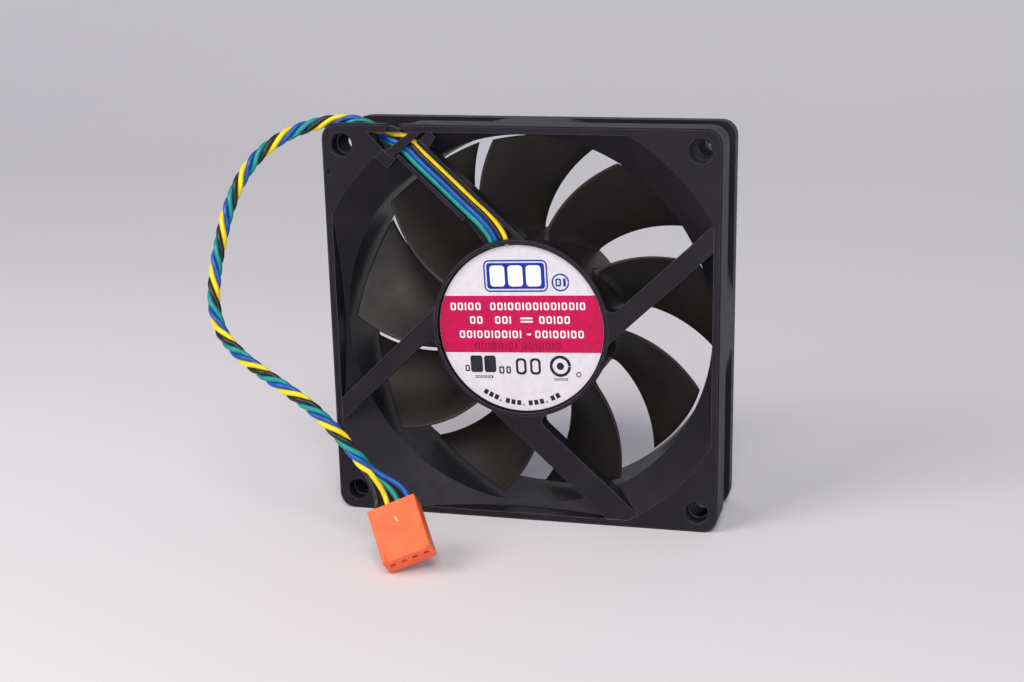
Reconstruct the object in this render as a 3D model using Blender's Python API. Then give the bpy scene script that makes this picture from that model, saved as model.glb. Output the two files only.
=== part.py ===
"""A 92 x 92 x 25 mm case fan with a twisted four-wire lead and its plug.

The fan stands on its bottom edge. +Z is up and the label side faces -Y.
Shapes are given in millimetres from the middle of the front face: x to the
right, depth from the front face towards the back, and height above the axis.
local_point turns them into metres about the fan's centre.
"""

import math

import bmesh
import bpy
import numpy as np
from mathutils import Matrix, Vector

MM = 0.001

# Frame
FAN_SIDE = 92.0
FAN_DEPTH = 25.0
CORNER_RADIUS = 3.6
EDGE_CHAMFER = 0.35
WALL = 1.7
FLARE_RADIUS = 51.0
FLARE_DEPTH = 5.6
DUCT_RADIUS = 43.6
BELL_RADIUS = 45.0
BELL_DEPTH = 1.8
BARREL_RADIUS = 46.4
FRONT_BLOCK_DEPTH = 10.2
REAR_FLANGE_DEPTH = 4.4
PLATE_DEPTH = 3.0

# Mounting holes, stepped from the front face
HOLE_SPACING = 82.5
HOLE_RADIUS = 2.2
HOLE_STEP_RADIUS = 2.45
HOLE_STEP_DEPTH = 3.5
HOLE_CHAMFER = 0.35

# Motor base, struts and wire channel
BASE_RADIUS = 20.8
RIM_RADIUS = 19.7
LABEL_RADIUS = 19.4
LABEL_DEPTHS = (1.0, 1.3)
RECESS_DEPTH = 1.6
BASE_DEPTH = 3.2
STRUT_FRONT = 0.1
STRUT_DEPTH = 4.2
STRUT_FILLET = 1.8
CHANNEL_ANGLE = 137.6
CHANNEL_SIDES = (9.5, 16.15)
CHANNEL_WALL = 0.9
CHANNEL_FRONT = 0.2
CHANNEL_FLOOR = 2.9
CHANNEL_ENDS = (26.2, 47.0)
CHANNEL_RIGHT_END = 45.6
PLAIN_STRUTS = ((42.7, 11.5, 15.9, 50.0), (-42.2, 13.2, 19.3, 52.0), (223.6, 13.0, 17.1, 50.0))

# Bearing
TUBE_BORE = 3.4
TUBE_RADIUS = 4.6
TUBE_END = 16.5
FIT_GAP = 0.3
SHAFT_RADIUS = 1.5
SLEEVE_ENDS = (4.6, 14.8)
SEAL_ENDS = (15.1, 15.8)
PAD_RADIUS = 2.6
PAD_ENDS = (2.65, 2.95)
CAP_ENDS = (1.75, 2.35)

# Rotor
BLADES = 9
HUB_RADIUS = 20.2
HUB_WALL = 1.4
HUB_FRONT = 5.0
HUB_BACK = 24.2
HUB_END_WALL = 1.3
TIP_RADIUS = 42.8
BLADE_SPAN = math.radians(30.5)
BLADE_SWEEP = math.radians(18.5)
BLADE_FIRST_TIP = math.radians(100.5)
BLADE_NEAR_DEPTH = (7.4, 8.4)
BLADE_FAR_DEPTH = (21.6, 20.4)
BLADE_THICKNESS = (1.5, 1.0)
BLADE_CAMBER = 0.14
MAGNET_RADII = (15.3, 17.3)
MAGNET_ENDS = (7.0, 18.0)
BUSHING_FRONT = 17.6
YOKE_RADII = (17.6, 18.5)

# Stator
POLES = 4
STATOR_RADIUS = 14.7
STACK = (9.5, 16.5)
NECK_HALF_WIDTH = 2.0
STATOR_RING = 7.0
POLE_TIP = 12.9

# Lead and plug
WIRE_RADIUS = 0.5
WIRE_PITCH = 1.17
BUNDLE_RADIUS = 0.95
TWIST_TURNS = 10
WIRE_POINTS = 80
CONTACT_PITCH = 2.54
PLUG_SIZE = (10.9, 12.9, 6.0)
PLUG_CENTRE = (-17.4, -35.0)
PLUG_ACROSS = (0.89, 0.305, 0.335)
PLUG_FORWARD = (0.47, -0.611, -0.637)
CAVITY = 2.0
TERMINAL = 1.4
TERMINAL_WALL = 0.25
CONTACT_OPENING = 1.1
FACE_WALL = 0.9

# Places on the motor base
FILLET_FOOT_RADIUS = BASE_RADIUS - 0.15
ROOT_RADIUS = 20.3
FLOOR_FOOT_OFFSET = 8.0
FLOOR_FOOT_ALONG = 18.65
CHANNEL_BACK = 4.0
GROOVE_ENDS = (41.0, 52.0)
GROOVE_MARGIN = 0.3
STRUT_STOP = 0.4
SLOT_ANGLE = 105.0
SLOT_HALF_WIDTH = 4.0
SLOT_FRONT = 1.1
SLOT_FLOOR = 2.8
SLOT_START = 15.4
SLOT_STEP = 19.2
SLOT_END = 22.0

# Outlines at the corner where the lead leaves the frame, as (x, height) points
PIN_MARK = (-44.55, 34.9)
PIN_MARK_RADIUS = 0.55
PIN_MARK_DEPTH = 0.8
WING = ((-35.4, 40.2), (-30.27, 36.02), (-28.28, 38.37), (-31.24, 40.3))
OPENING = ((-34.8, 44.1), (-31.2, 40.2), (-28.3, 39.3), (-24.9, 42.9), (-26.0, 44.1))
NOTCH = ((-30.67, 47.0), (-30.67, 44.1), (-26.2, 44.1), (-27.1, 45.5), (-27.1, 47.0))
POCKET = (
    (-39.6, 47.0),
    (-39.6, 44.25),
    (-36.6, 42.5),
    (-32.0, 39.6),
    (-29.6, 38.7),
    (-25.4, 42.4),
    (-25.4, 47.0),
)
CORNER_CUTS = (
    ("bar_seat", ((-31.6, 39.9), (-29.6, 38.2), (-27.6, 39.8), (-29.4, 41.5)), -1.0, 1.25),
    ("opening", OPENING, -1.0, PLATE_DEPTH + 0.5),
    ("notch", NOTCH, -1.0, PLATE_DEPTH + 0.5),
    ("pocket", POCKET, PLATE_DEPTH, 11.0),
    ("lead_way", ((-47.0, 47.0), (-47.0, 44.35), (-39.0, 44.35), (-39.0, 47.0)), PLATE_DEPTH, 11.0),
)
CORNER_HOOKS = (
    ("channel_tab", ((-23.05, 42.04), (-20.2, 44.9), (-18.9, 43.3), (-21.0, 40.17)), 0.3, 2.2),
    ("bar", ((-30.9, 39.75), (-29.32, 38.46), (-21.6, 44.6), (-22.9, 45.6)), 0.05, 0.95),
    ("hook", ((-31.2, 45.9), (-30.3, 45.9), (-27.2, 44.7), (-27.35, 44.2), (-31.2, 44.15)), 0.9, 2.3),
)

# Inside the motor
INSULATOR = 0.8
COIL_ENDS = (7.7, 11.4)
COIL_SIDE = 2.3
COIL_RISE = 1.2
BOARD_RADIUS = 17.2
BOARD_DEPTHS = (4.0, 4.8)
YOKE_FRONT = 6.2
YOKE_BACK = 22.5
YOKE_WALL = 0.9
YOKE_BORE = 3.7
SHAFT_FRONT = 3.25
GROOVE_RADIUS = 0.9
GROOVE_DEPTHS = (3.6, 4.4)
RING_RADIUS = 2.5
RING_PLAY = 0.15
RING_SLIT = 24.0
HUB_EDGE = 1.5
BLADE_ROOT_RADIUS = 19.4

# Inside the plug and along the lead
GROUND_GAP = 0.05
PLUG_BEVEL_LENGTH = 2.1
PLUG_BEVEL_DEPTH = 1.15
PLUG_PILLAR = 0.9
RIB_HEIGHT = 0.7
RIB_WIDTH = 1.0
RIB_ENDS = (-4.45, 4.25)
TERMINAL_ENDS = (-4.1, 5.2)
WIRE_INSIDE_PLUG = 2.0
PLUG_STRAIGHT = 3.6
GATHER_START = 32.5
GATHER_END = 40.5
GATHER_SPREAD = 0.12
FAN_START = 12.5
FAN_END = 3.0

# Middle of the lead, from the motor base along the channel to the plug: x, depth, height.
LEAD_ROUTE = (
    (-4.4, 3.15, 16.4),
    (-4.8, 2.1, 18.6),
    (-5.5, 1.75, 21.2),
    (-7.9, 1.55, 24.6),
    (-12.0, 1.55, 28.3),
    (-17.45, 1.55, 33.35),
    (-22.55, 1.6, 37.95),
    (-26.4, 2.0, 41.4),
    (-30.0, 3.2, 42.4),
    (-33.0, 4.9, 43.3),
    (-36.0, 5.6, 44.7),
    (-39.4, 5.7, 45.9),
    (-43.9, 5.4, 46.1),
    (-49.0, 4.4, 45.3),
    (-54.6, 2.3, 43.3),
    (-60.0, -1.0, 39.5),
    (-63.8, -4.2, 34.2),
    (-66.1, -7.1, 27.9),
    (-67.4, -9.9, 20.8),
    (-68.0, -12.8, 13.5),
    (-67.4, -15.8, 6.6),
    (-64.6, -18.7, 1.0),
    (-59.5, -21.4, -3.1),
    (-53.2, -23.9, -6.4),
    (-46.3, -26.0, -9.6),
    (-39.8, -27.7, -13.1),
    (-34.2, -28.8, -17.6),
    (-30.0, -28.9, -22.3),
    (-26.2, -28.9, -26.9),
)


def local_point(x, depth, height):
    """A point in metres from the fan's centre."""
    return Vector((x, depth - FAN_DEPTH / 2, height)) * MM


def polar(radius, angle):
    """The (x, height) pair at a radius and an angle in degrees from +X."""
    turn = math.radians(angle)
    return (radius * math.cos(turn), radius * math.sin(turn))


def clear_scene():
    for old in list(bpy.data.objects):
        bpy.data.objects.remove(old, do_unlink=True)


def material(name, colour, roughness, metallic=0.0):
    made = bpy.data.materials.get(name)
    if made is None:
        made = bpy.data.materials.new(name)
        made.use_nodes = True
        shader = made.node_tree.nodes["Principled BSDF"]
        shader.inputs["Base Color"].default_value = (*colour, 1.0)
        shader.inputs["Roughness"].default_value = roughness
        shader.inputs["Metallic"].default_value = metallic
    return made


def frame_plastic():
    return material("frame_plastic", (0.035, 0.034, 0.042), 0.45)


def blade_plastic():
    return material("blade_plastic", (0.018, 0.017, 0.018), 0.3)


def white_nylon():
    return material("white_nylon", (0.75, 0.74, 0.7), 0.5)


def brass():
    return material("brass", (0.72, 0.52, 0.22), 0.3, 1.0)


def steel():
    return material("steel", (0.6, 0.6, 0.6), 0.3, 1.0)


def chip_plastic():
    return material("chip_plastic", (0.03, 0.03, 0.03), 0.5)


def add_object(name, mesh, surface=None, parent=None):
    """Puts a mesh made about the fan's centre in the scene."""
    made = bpy.data.objects.new(name, mesh)
    bpy.context.collection.objects.link(made)
    if parent is None:
        made.location = (0.0, 0.0, FAN_SIDE / 2 * MM)
    else:
        made.parent = parent
    if surface is not None:
        mesh.materials.append(surface)
    return made


def finish_mesh(name, bm, smooth=True):
    bmesh.ops.recalc_face_normals(bm, faces=bm.faces[:])
    mesh = bpy.data.meshes.new(name)
    bm.to_mesh(mesh)
    bm.free()
    if smooth:
        mesh.shade_smooth()
        mesh.set_sharp_from_angle(angle=math.radians(35.0))
    return mesh


def cutter(name, mesh):
    """A helper shape that another object's Boolean modifier reads."""
    made = add_object(name, mesh)
    made.hide_render = True
    made.display_type = "WIRE"
    return made


def combine(target, other, operation):
    step = target.modifiers.new(other.name, "BOOLEAN")
    step.object = other
    step.operation = operation
    step.solver = "EXACT"


def add_layers(bm, layers):
    """Skins a stack of (outline, depth) layers with the same number of points, and caps both ends."""
    rings = []
    for outline, depth in layers:
        rings.append([bm.verts.new(local_point(x, depth, height)) for x, height in outline])
    for lower, upper in zip(rings, rings[1:]):
        for i in range(len(lower)):
            j = (i + 1) % len(lower)
            bm.faces.new((lower[i], lower[j], upper[j], upper[i]))
    bm.faces.new(rings[0])
    bm.faces.new(rings[-1])


def add_prism(bm, outline, front, back):
    add_layers(bm, ((outline, front), (outline, back)))


def prism(name, outline, front, back, smooth=False):
    bm = bmesh.new()
    add_prism(bm, outline, front, back)
    return finish_mesh(name, bm, smooth)


def add_turned(bm, profile, segments, centre=(0.0, 0.0)):
    """Turns a closed (radius, depth) profile about an axis along the depth."""
    rings = []
    for radius, depth in profile:
        if radius == 0.0:
            rings.append([bm.verts.new(local_point(centre[0], depth, centre[1]))])
            continue
        ring = []
        for i in range(segments):
            x, height = polar(radius, 360.0 * i / segments)
            ring.append(bm.verts.new(local_point(centre[0] + x, depth, centre[1] + height)))
        rings.append(ring)
    for a, b in zip(rings, rings[1:] + rings[:1]):
        for i in range(segments):
            j = (i + 1) % segments
            if len(a) == 1 and len(b) == 1:
                break
            if len(a) == 1:
                bm.faces.new((a[0], b[i], b[j]))
            elif len(b) == 1:
                bm.faces.new((a[i], a[j], b[0]))
            else:
                bm.faces.new((a[i], a[j], b[j], b[i]))


def turned(name, profile, segments, centre=(0.0, 0.0)):
    bm = bmesh.new()
    add_turned(bm, profile, segments, centre)
    return finish_mesh(name, bm)


def tube_profile(inner, outer, front, back):
    return ((inner, front), (outer, front), (outer, back), (inner, back))


def disc_profile(radius, front, back):
    return ((0.0, front), (radius, front), (radius, back), (0.0, back))


def rounded_square(side, radius, steps=6):
    outline = []
    reach = side / 2 - radius
    for corner in range(4):
        centre_x, centre_height = polar(reach * math.sqrt(2.0), 45.0 + 90.0 * corner)
        for i in range(steps + 1):
            x, height = polar(radius, 90.0 * corner + 90.0 * i / steps)
            outline.append((centre_x + x, centre_height + height))
    return outline


def square(half):
    return ((half, half), (-half, half), (-half, -half), (half, -half))


# Frame


def strut_frame(angle):
    """The outward direction of a strut and the sideways direction of its offset."""
    turn = math.radians(angle)
    return (math.cos(turn), math.sin(turn)), (math.sin(turn), -math.cos(turn))


def strut_point(angle, along, offset):
    outward, sideways = strut_frame(angle)
    return tuple(along * o + offset * s for o, s in zip(outward, sideways))


def fillet_side(angle, offset, side, steps=5):
    """The concave fillet between a strut's edge and the motor base, from the edge inwards."""
    across = offset + side * STRUT_FILLET
    reach = FILLET_FOOT_RADIUS + STRUT_FILLET
    along = math.sqrt(reach**2 - across**2)
    start = -side * math.pi / 2
    end = math.atan2(-across, -along)
    if side < 0:
        end += 2 * math.pi
    points = []
    for i in range(steps + 1):
        turn = start + (end - start) * i / steps
        x = along + STRUT_FILLET * math.cos(turn)
        y = across + STRUT_FILLET * math.sin(turn)
        points.append(strut_point(angle, x, y))
    return points


def root_arc(start, end, steps=5):
    """Points inside the rim of the motor base, from below one point to below another."""
    first = math.degrees(math.atan2(start[1], start[0]))
    last = math.degrees(math.atan2(end[1], end[0]))
    while last < first:
        last += 360.0
    return [polar(ROOT_RADIUS, first + (last - first) * i / steps) for i in range(steps + 1)]


def strut_outline(angle, inner, outer, length):
    """A straight strut whose edges flow into the rim of the motor base."""
    outer_side = fillet_side(angle, outer, 1.0)
    inner_side = fillet_side(angle, inner, -1.0)
    outline = [strut_point(angle, length, outer)]
    outline += outer_side
    outline += root_arc(outer_side[-1], inner_side[-1])
    outline += reversed(inner_side)
    outline.append(strut_point(angle, length, inner))
    return outline


def channel_floor():
    """The floor under the wires; it widens towards the motor base."""
    left, right = CHANNEL_SIDES
    wall_start, wall_end = CHANNEL_ENDS
    inset = CHANNEL_WALL / 3
    outer_side = fillet_side(CHANNEL_ANGLE, right - inset, 1.0)
    foot = strut_point(CHANNEL_ANGLE, FLOOR_FOOT_ALONG, FLOOR_FOOT_OFFSET)
    outline = [strut_point(CHANNEL_ANGLE, wall_end, right - inset)]
    outline += outer_side
    outline += root_arc(outer_side[-1], foot)
    outline.append(strut_point(CHANNEL_ANGLE, wall_start, left))
    outline.append(strut_point(CHANNEL_ANGLE, wall_start + inset, left + inset))
    outline.append(strut_point(CHANNEL_ANGLE, wall_end, left + inset))
    return outline


def channel_right_wall():
    """The wall that starts at the rim of the motor base."""
    right = CHANNEL_SIDES[1]
    inner = right - CHANNEL_WALL
    outer_side = fillet_side(CHANNEL_ANGLE, right, 1.0)
    foot = strut_point(CHANNEL_ANGLE, math.sqrt(ROOT_RADIUS**2 - inner**2), inner)
    outline = [strut_point(CHANNEL_ANGLE, CHANNEL_RIGHT_END, right)]
    outline += outer_side
    outline += root_arc(outer_side[-1], foot, 2)
    outline.append(strut_point(CHANNEL_ANGLE, CHANNEL_RIGHT_END, inner))
    return outline


def channel_strip(start, end, first, last):
    """A rectangle along the channel, between two distances and two offsets."""
    corners = ((start, first), (start, last), (end, last), (end, first))
    return [strut_point(CHANNEL_ANGLE, along, across) for along, across in corners]


def corner_recess():
    """The room between the front corner blocks and the rear flange, outside the barrel."""
    front = FRONT_BLOCK_DEPTH
    back = FAN_DEPTH - REAR_FLANGE_DEPTH
    room = cutter("recess_cut", prism("recess_cut", square(FAN_SIDE), front, back))
    barrel = turned("barrel", disc_profile(BARREL_RADIUS, front - 1.0, back + 1.0), 128)
    combine(room, cutter("barrel", barrel), "DIFFERENCE")
    return room


def duct():
    """The air path: a short flare at the front, a straight duct and a small bell at the back."""
    profile = (
        (0.0, -1.0),
        (FLARE_RADIUS, -1.0),
        (FLARE_RADIUS, 0.0),
        (DUCT_RADIUS, FLARE_DEPTH),
        (DUCT_RADIUS, FAN_DEPTH - BELL_DEPTH),
        (BELL_RADIUS, FAN_DEPTH),
        (BELL_RADIUS, FAN_DEPTH + 1.0),
        (0.0, FAN_DEPTH + 1.0),
    )
    path = cutter("duct_cut", turned("duct_cut", profile, 128))
    half = FAN_SIDE / 2 - WALL
    combine(path, cutter("duct_walls", prism("duct_walls", square(half), -2.0, FAN_DEPTH + 2.0)), "INTERSECT")
    return path


def motor_base():
    """The base disc with its rim round the label and the tube for the bearing."""
    profile = (
        (TUBE_BORE, RECESS_DEPTH),
        (RIM_RADIUS, RECESS_DEPTH),
        (RIM_RADIUS + 0.15, 0.0),
        (BASE_RADIUS - 0.25, 0.0),
        (BASE_RADIUS, 0.25),
        (BASE_RADIUS, BASE_DEPTH),
        (TUBE_RADIUS, BASE_DEPTH),
        (TUBE_RADIUS, TUBE_END),
        (TUBE_BORE, TUBE_END),
    )
    return cutter("motor_base", turned("motor_base", profile, 96))


def wire_slot():
    """The way for the wires under the rim and down behind the motor base."""
    steps = (
        (SLOT_END, SLOT_FRONT),
        (SLOT_END, SLOT_FLOOR),
        (SLOT_STEP, SLOT_FLOOR),
        (SLOT_STEP, STRUT_DEPTH + 1.0),
        (SLOT_START, STRUT_DEPTH + 1.0),
        (SLOT_START, SLOT_FRONT),
    )
    bm = bmesh.new()
    rings = []
    for across in (-SLOT_HALF_WIDTH, SLOT_HALF_WIDTH):
        ring = []
        for along, depth in steps:
            x, height = strut_point(SLOT_ANGLE, along, across)
            ring.append(bm.verts.new(local_point(x, depth, height)))
        rings.append(ring)
    for i in range(len(steps)):
        j = (i + 1) % len(steps)
        bm.faces.new((rings[0][i], rings[0][j], rings[1][j], rings[1][i]))
    bm.faces.new(rings[0])
    bm.faces.new(rings[1])
    return cutter("slot_cut", finish_mesh("slot_cut", bm, False))


def mounting_holes():
    """Four stepped holes with a small chamfer on the front face."""
    profile = (
        (0.0, -0.5),
        (HOLE_STEP_RADIUS + HOLE_CHAMFER, -0.5),
        (HOLE_STEP_RADIUS + HOLE_CHAMFER, 0.0),
        (HOLE_STEP_RADIUS, HOLE_CHAMFER),
        (HOLE_STEP_RADIUS, HOLE_STEP_DEPTH),
        (HOLE_RADIUS, HOLE_STEP_DEPTH),
        (HOLE_RADIUS, FAN_DEPTH + 0.5),
        (0.0, FAN_DEPTH + 0.5),
    )
    bm = bmesh.new()
    for centre in square(HOLE_SPACING / 2):
        add_turned(bm, profile, 32, centre)
    return cutter("hole_cut", finish_mesh("hole_cut", bm))


def flange_body():
    """The square outside of the frame with its small edge chamfers."""
    full = rounded_square(FAN_SIDE, CORNER_RADIUS)
    small = rounded_square(FAN_SIDE - 2 * EDGE_CHAMFER, CORNER_RADIUS - EDGE_CHAMFER)
    back = FAN_DEPTH - EDGE_CHAMFER
    bm = bmesh.new()
    add_layers(bm, ((small, 0.0), (full, EDGE_CHAMFER), (full, back), (small, FAN_DEPTH)))
    return finish_mesh("frame", bm)


def flat_pieces():
    """The flat shapes joined to the frame: name, outline, front and back depth."""
    left, right = CHANNEL_SIDES
    wall_start, wall_end = CHANNEL_ENDS
    left_wall = channel_strip(wall_start, wall_end, left, left + CHANNEL_WALL)
    pieces = []
    for number, strut in enumerate(PLAIN_STRUTS, start=1):
        pieces.append((f"strut_{number}", strut_outline(*strut), STRUT_FRONT, STRUT_DEPTH))
    pieces.append(("wing", WING, STRUT_FRONT, STRUT_DEPTH))
    pieces.append(("channel_floor", channel_floor(), CHANNEL_FLOOR, CHANNEL_BACK))
    pieces.append(("channel_left_wall", left_wall, CHANNEL_FRONT, STRUT_DEPTH))
    pieces.append(("channel_right_wall", channel_right_wall(), CHANNEL_FRONT, STRUT_DEPTH))
    pieces.extend(CORNER_HOOKS)
    return pieces


def frame():
    """The square moulding: flanges, duct, motor base, struts, wire channel and cable hooks."""
    made = add_object("frame", flange_body(), frame_plastic())
    combine(made, corner_recess(), "DIFFERENCE")
    combine(made, duct(), "DIFFERENCE")
    left, right = CHANNEL_SIDES
    inset = CHANNEL_WALL - GROOVE_MARGIN
    groove_outline = channel_strip(*GROOVE_ENDS, left + inset, right - inset)
    groove = ("groove_end", groove_outline, -1.0, CHANNEL_FLOOR)
    for name, outline, front, depth in (groove, *CORNER_CUTS):
        combine(made, cutter(name, prism(name, outline, front, depth)), "DIFFERENCE")
    combine(made, motor_base(), "UNION")
    inside = cutter("inside", prism("inside", square(FAN_SIDE / 2 - STRUT_STOP), -1.0, FAN_DEPTH))
    for name, outline, front, depth in flat_pieces():
        piece = cutter(name, prism(name, outline, front, depth))
        combine(piece, inside, "INTERSECT")
        combine(made, piece, "UNION")
    combine(made, wire_slot(), "DIFFERENCE")
    combine(made, mounting_holes(), "DIFFERENCE")
    pin_mark = turned("pin_mark", disc_profile(PIN_MARK_RADIUS, -0.5, PIN_MARK_DEPTH), 16, PIN_MARK)
    combine(made, cutter("pin_mark", pin_mark), "DIFFERENCE")
    return made


# Motor


def add_plate(bm, outline, holes, front, back):
    """A flat plate with holes."""
    edges = []
    for loop in (outline, *holes):
        ring = [bm.verts.new(local_point(x, front, height)) for x, height in loop]
        edges += [bm.edges.new((a, b)) for a, b in zip(ring, ring[1:] + ring[:1])]
    filled = bmesh.ops.triangle_fill(bm, use_beauty=True, use_dissolve=False, edges=edges)
    faces = [item for item in filled["geom"] if isinstance(item, bmesh.types.BMFace)]
    grown = bmesh.ops.extrude_face_region(bm, geom=faces)
    moved = [item for item in grown["geom"] if isinstance(item, bmesh.types.BMVert)]
    bmesh.ops.translate(bm, vec=(0.0, (back - front) * MM, 0.0), verts=moved)


def plate(name, outline, holes, front, back):
    bm = bmesh.new()
    add_plate(bm, outline, holes, front, back)
    return finish_mesh(name, bm)


def circle(radius, segments, centre=(0.0, 0.0)):
    points = [polar(radius, 360.0 * i / segments) for i in range(segments)]
    return [(centre[0] + x, centre[1] + height) for x, height in points]


def pole_outline(ring_radius, neck_half, tip_inner, tip_outer, tip_half_angle):
    """The star of a four-pole stator, seen along the shaft."""
    outline = []
    for pole in range(POLES):
        middle = 360.0 * pole / POLES
        neck_start = math.sqrt(ring_radius**2 - neck_half**2)
        neck_end = math.sqrt(tip_inner**2 - neck_half**2)
        turn = math.radians(middle)
        outward = (math.cos(turn), math.sin(turn))
        sideways = (-math.sin(turn), math.cos(turn))
        for along in (neck_start, neck_end):
            outline.append(tuple(along * o - neck_half * s for o, s in zip(outward, sideways)))
        outline.append(polar(tip_inner, middle - tip_half_angle))
        for i in range(9):
            outline.append(polar(tip_outer, middle + tip_half_angle * (i / 4 - 1.0)))
        outline.append(polar(tip_inner, middle + tip_half_angle))
        for along in (neck_end, neck_start):
            outline.append(tuple(along * o + neck_half * s for o, s in zip(outward, sideways)))
    return outline


def stator():
    """The pole star between its two insulators, with a winding on each pole."""
    bore = circle(TUBE_RADIUS + FIT_GAP, 32)
    front, back = STACK
    core = pole_outline(STATOR_RING, NECK_HALF_WIDTH, POLE_TIP, STATOR_RADIUS, 34.0)
    cover = pole_outline(STATOR_RING + 0.2, NECK_HALF_WIDTH, POLE_TIP, STATOR_RADIUS - 0.3, 32.0)
    add_object("stator_core", plate("stator_core", core, [bore], front, back), steel())
    nylon = white_nylon()
    near = plate("insulator_front", cover, [bore], front - INSULATOR - FIT_GAP, front - FIT_GAP)
    far = plate("insulator_rear", cover, [bore], back + FIT_GAP, back + INSULATOR + FIT_GAP)
    add_object("insulator_front", near, nylon)
    add_object("insulator_rear", far, nylon)
    for pole in range(POLES):
        coil(pole)


def rounded_rectangle(half_width, half_height, radius, steps=3):
    outline = []
    for corner, (side_x, side_y) in enumerate(((1, 1), (-1, 1), (-1, -1), (1, -1))):
        for i in range(steps + 1):
            x, y = polar(radius, 90.0 * corner + 90.0 * i / steps)
            outline.append((side_x * (half_width - radius) + x, side_y * (half_height - radius) + y))
    return outline


def coil(pole):
    """A winding round one pole, from the stator's ring to its tip."""
    middle = sum(STACK) / 2
    inner_height = (STACK[1] - STACK[0]) / 2 + INSULATOR + 2 * FIT_GAP
    inner = rounded_rectangle(NECK_HALF_WIDTH + FIT_GAP, inner_height, 0.2)
    outer = rounded_rectangle(NECK_HALF_WIDTH + COIL_SIDE, inner_height + COIL_RISE, 1.2)
    turn = 2 * math.pi * pole / POLES
    outward = (math.cos(turn), math.sin(turn))
    sideways = (-math.sin(turn), math.cos(turn))
    bm = bmesh.new()
    rings = []
    start, end = COIL_ENDS
    for outline, along in ((inner, start), (outer, start), (outer, end), (inner, end)):
        ring = []
        for across, rise in outline:
            x, height = (along * o + across * s for o, s in zip(outward, sideways))
            ring.append(bm.verts.new(local_point(x, middle + rise, height)))
        rings.append(ring)
    for a, b in zip(rings, rings[1:] + rings[:1]):
        for i in range(len(a)):
            j = (i + 1) % len(a)
            bm.faces.new((a[i], a[j], b[j], b[i]))
    name = f"coil_{pole + 1}"
    copper = material("copper_wire", (0.6, 0.25, 0.1), 0.35, 1.0)
    add_object(name, finish_mesh(name, bm), copper)


def board_parts():
    """Name, place, half sizes, thickness and material of each piece soldered on the board."""
    chip = chip_plastic()
    brown = material("capacitor_case", (0.35, 0.2, 0.1), 0.5)
    black = material("resistor_case", (0.05, 0.05, 0.05), 0.4)
    return (
        ("driver_chip", (-9.5, 6.0), 2.4, 1.9, 1.2, chip),
        ("hall_sensor", polar(14.3, 45.0), 1.4, 0.8, 0.9, chip),
        ("capacitor", (10.5, -5.0), 1.0, 1.5, 1.2, brown),
        ("resistor", (-6.0, -10.5), 1.4, 0.8, 0.6, black),
    )


def circuit():
    """The board behind the motor base and what is soldered on it."""
    board = material("circuit_board", (0.05, 0.2, 0.08), 0.45)
    hole = circle(TUBE_RADIUS + FIT_GAP, 32)
    disc = plate("circuit_board", circle(BOARD_RADIUS, 64), [hole], *BOARD_DEPTHS)
    add_object("circuit_board", disc, board)
    for name, centre, half_width, half_height, thickness, surface in board_parts():
        case = rounded_rectangle(half_width, half_height, 0.25)
        outline = [(centre[0] + x, centre[1] + y) for x, y in case]
        front = BOARD_DEPTHS[1] + FIT_GAP
        add_object(name, prism(name, outline, front, front + thickness), surface)


def bearing():
    """What the bearing tube holds, from the rotor side to the label side."""
    inner = SHAFT_RADIUS + FIT_GAP
    outer = TUBE_BORE - FIT_GAP
    sleeve = turned("bearing_sleeve", tube_profile(inner, outer, *SLEEVE_ENDS), 32)
    add_object("bearing_sleeve", sleeve, brass())
    seal = turned("oil_seal", tube_profile(inner, outer, *SEAL_ENDS), 32)
    add_object("oil_seal", seal, material("seal_nylon", (0.3, 0.3, 0.32), 0.5))
    pad = turned("thrust_pad", disc_profile(PAD_RADIUS, *PAD_ENDS), 32)
    add_object("thrust_pad", pad, white_nylon())
    cap = turned("bearing_cap", disc_profile(outer, *CAP_ENDS), 32)
    add_object("bearing_cap", cap, material("cap_rubber", (0.03, 0.03, 0.03), 0.8))


def label():
    """The round sticker, standing just clear of the recess it is stuck in."""
    paper = material("label_paper", (0.85, 0.84, 0.86), 0.4)
    add_object("label", turned("label", disc_profile(LABEL_RADIUS, *LABEL_DEPTHS), 96), paper)


# Rotor


def blade_section(part):
    """Radius, thickness and the depths of the two edges at a share of the blade's length."""
    radius = BLADE_ROOT_RADIUS + (TIP_RADIUS - BLADE_ROOT_RADIUS) * part
    thickness = BLADE_THICKNESS[0] + (BLADE_THICKNESS[1] - BLADE_THICKNESS[0]) * part
    near = BLADE_NEAR_DEPTH[0] + (BLADE_NEAR_DEPTH[1] - BLADE_NEAR_DEPTH[0]) * part
    far = BLADE_FAR_DEPTH[0] + (BLADE_FAR_DEPTH[1] - BLADE_FAR_DEPTH[0]) * part
    return radius, thickness, near, far


def blade_point(number, part, chord):
    """A point of the blade's middle surface; chord runs from the label side edge to the other."""
    radius, _, near, far = blade_section(part)
    angle = BLADE_FIRST_TIP - 2 * math.pi * number / BLADES
    angle += BLADE_SWEEP * (1.0 - part**1.3)
    angle -= BLADE_SPAN * chord
    depth = near + (far - near) * (chord + BLADE_CAMBER * math.sin(math.pi * chord))
    return local_point(radius * math.cos(angle), depth, radius * math.sin(angle))


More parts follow.
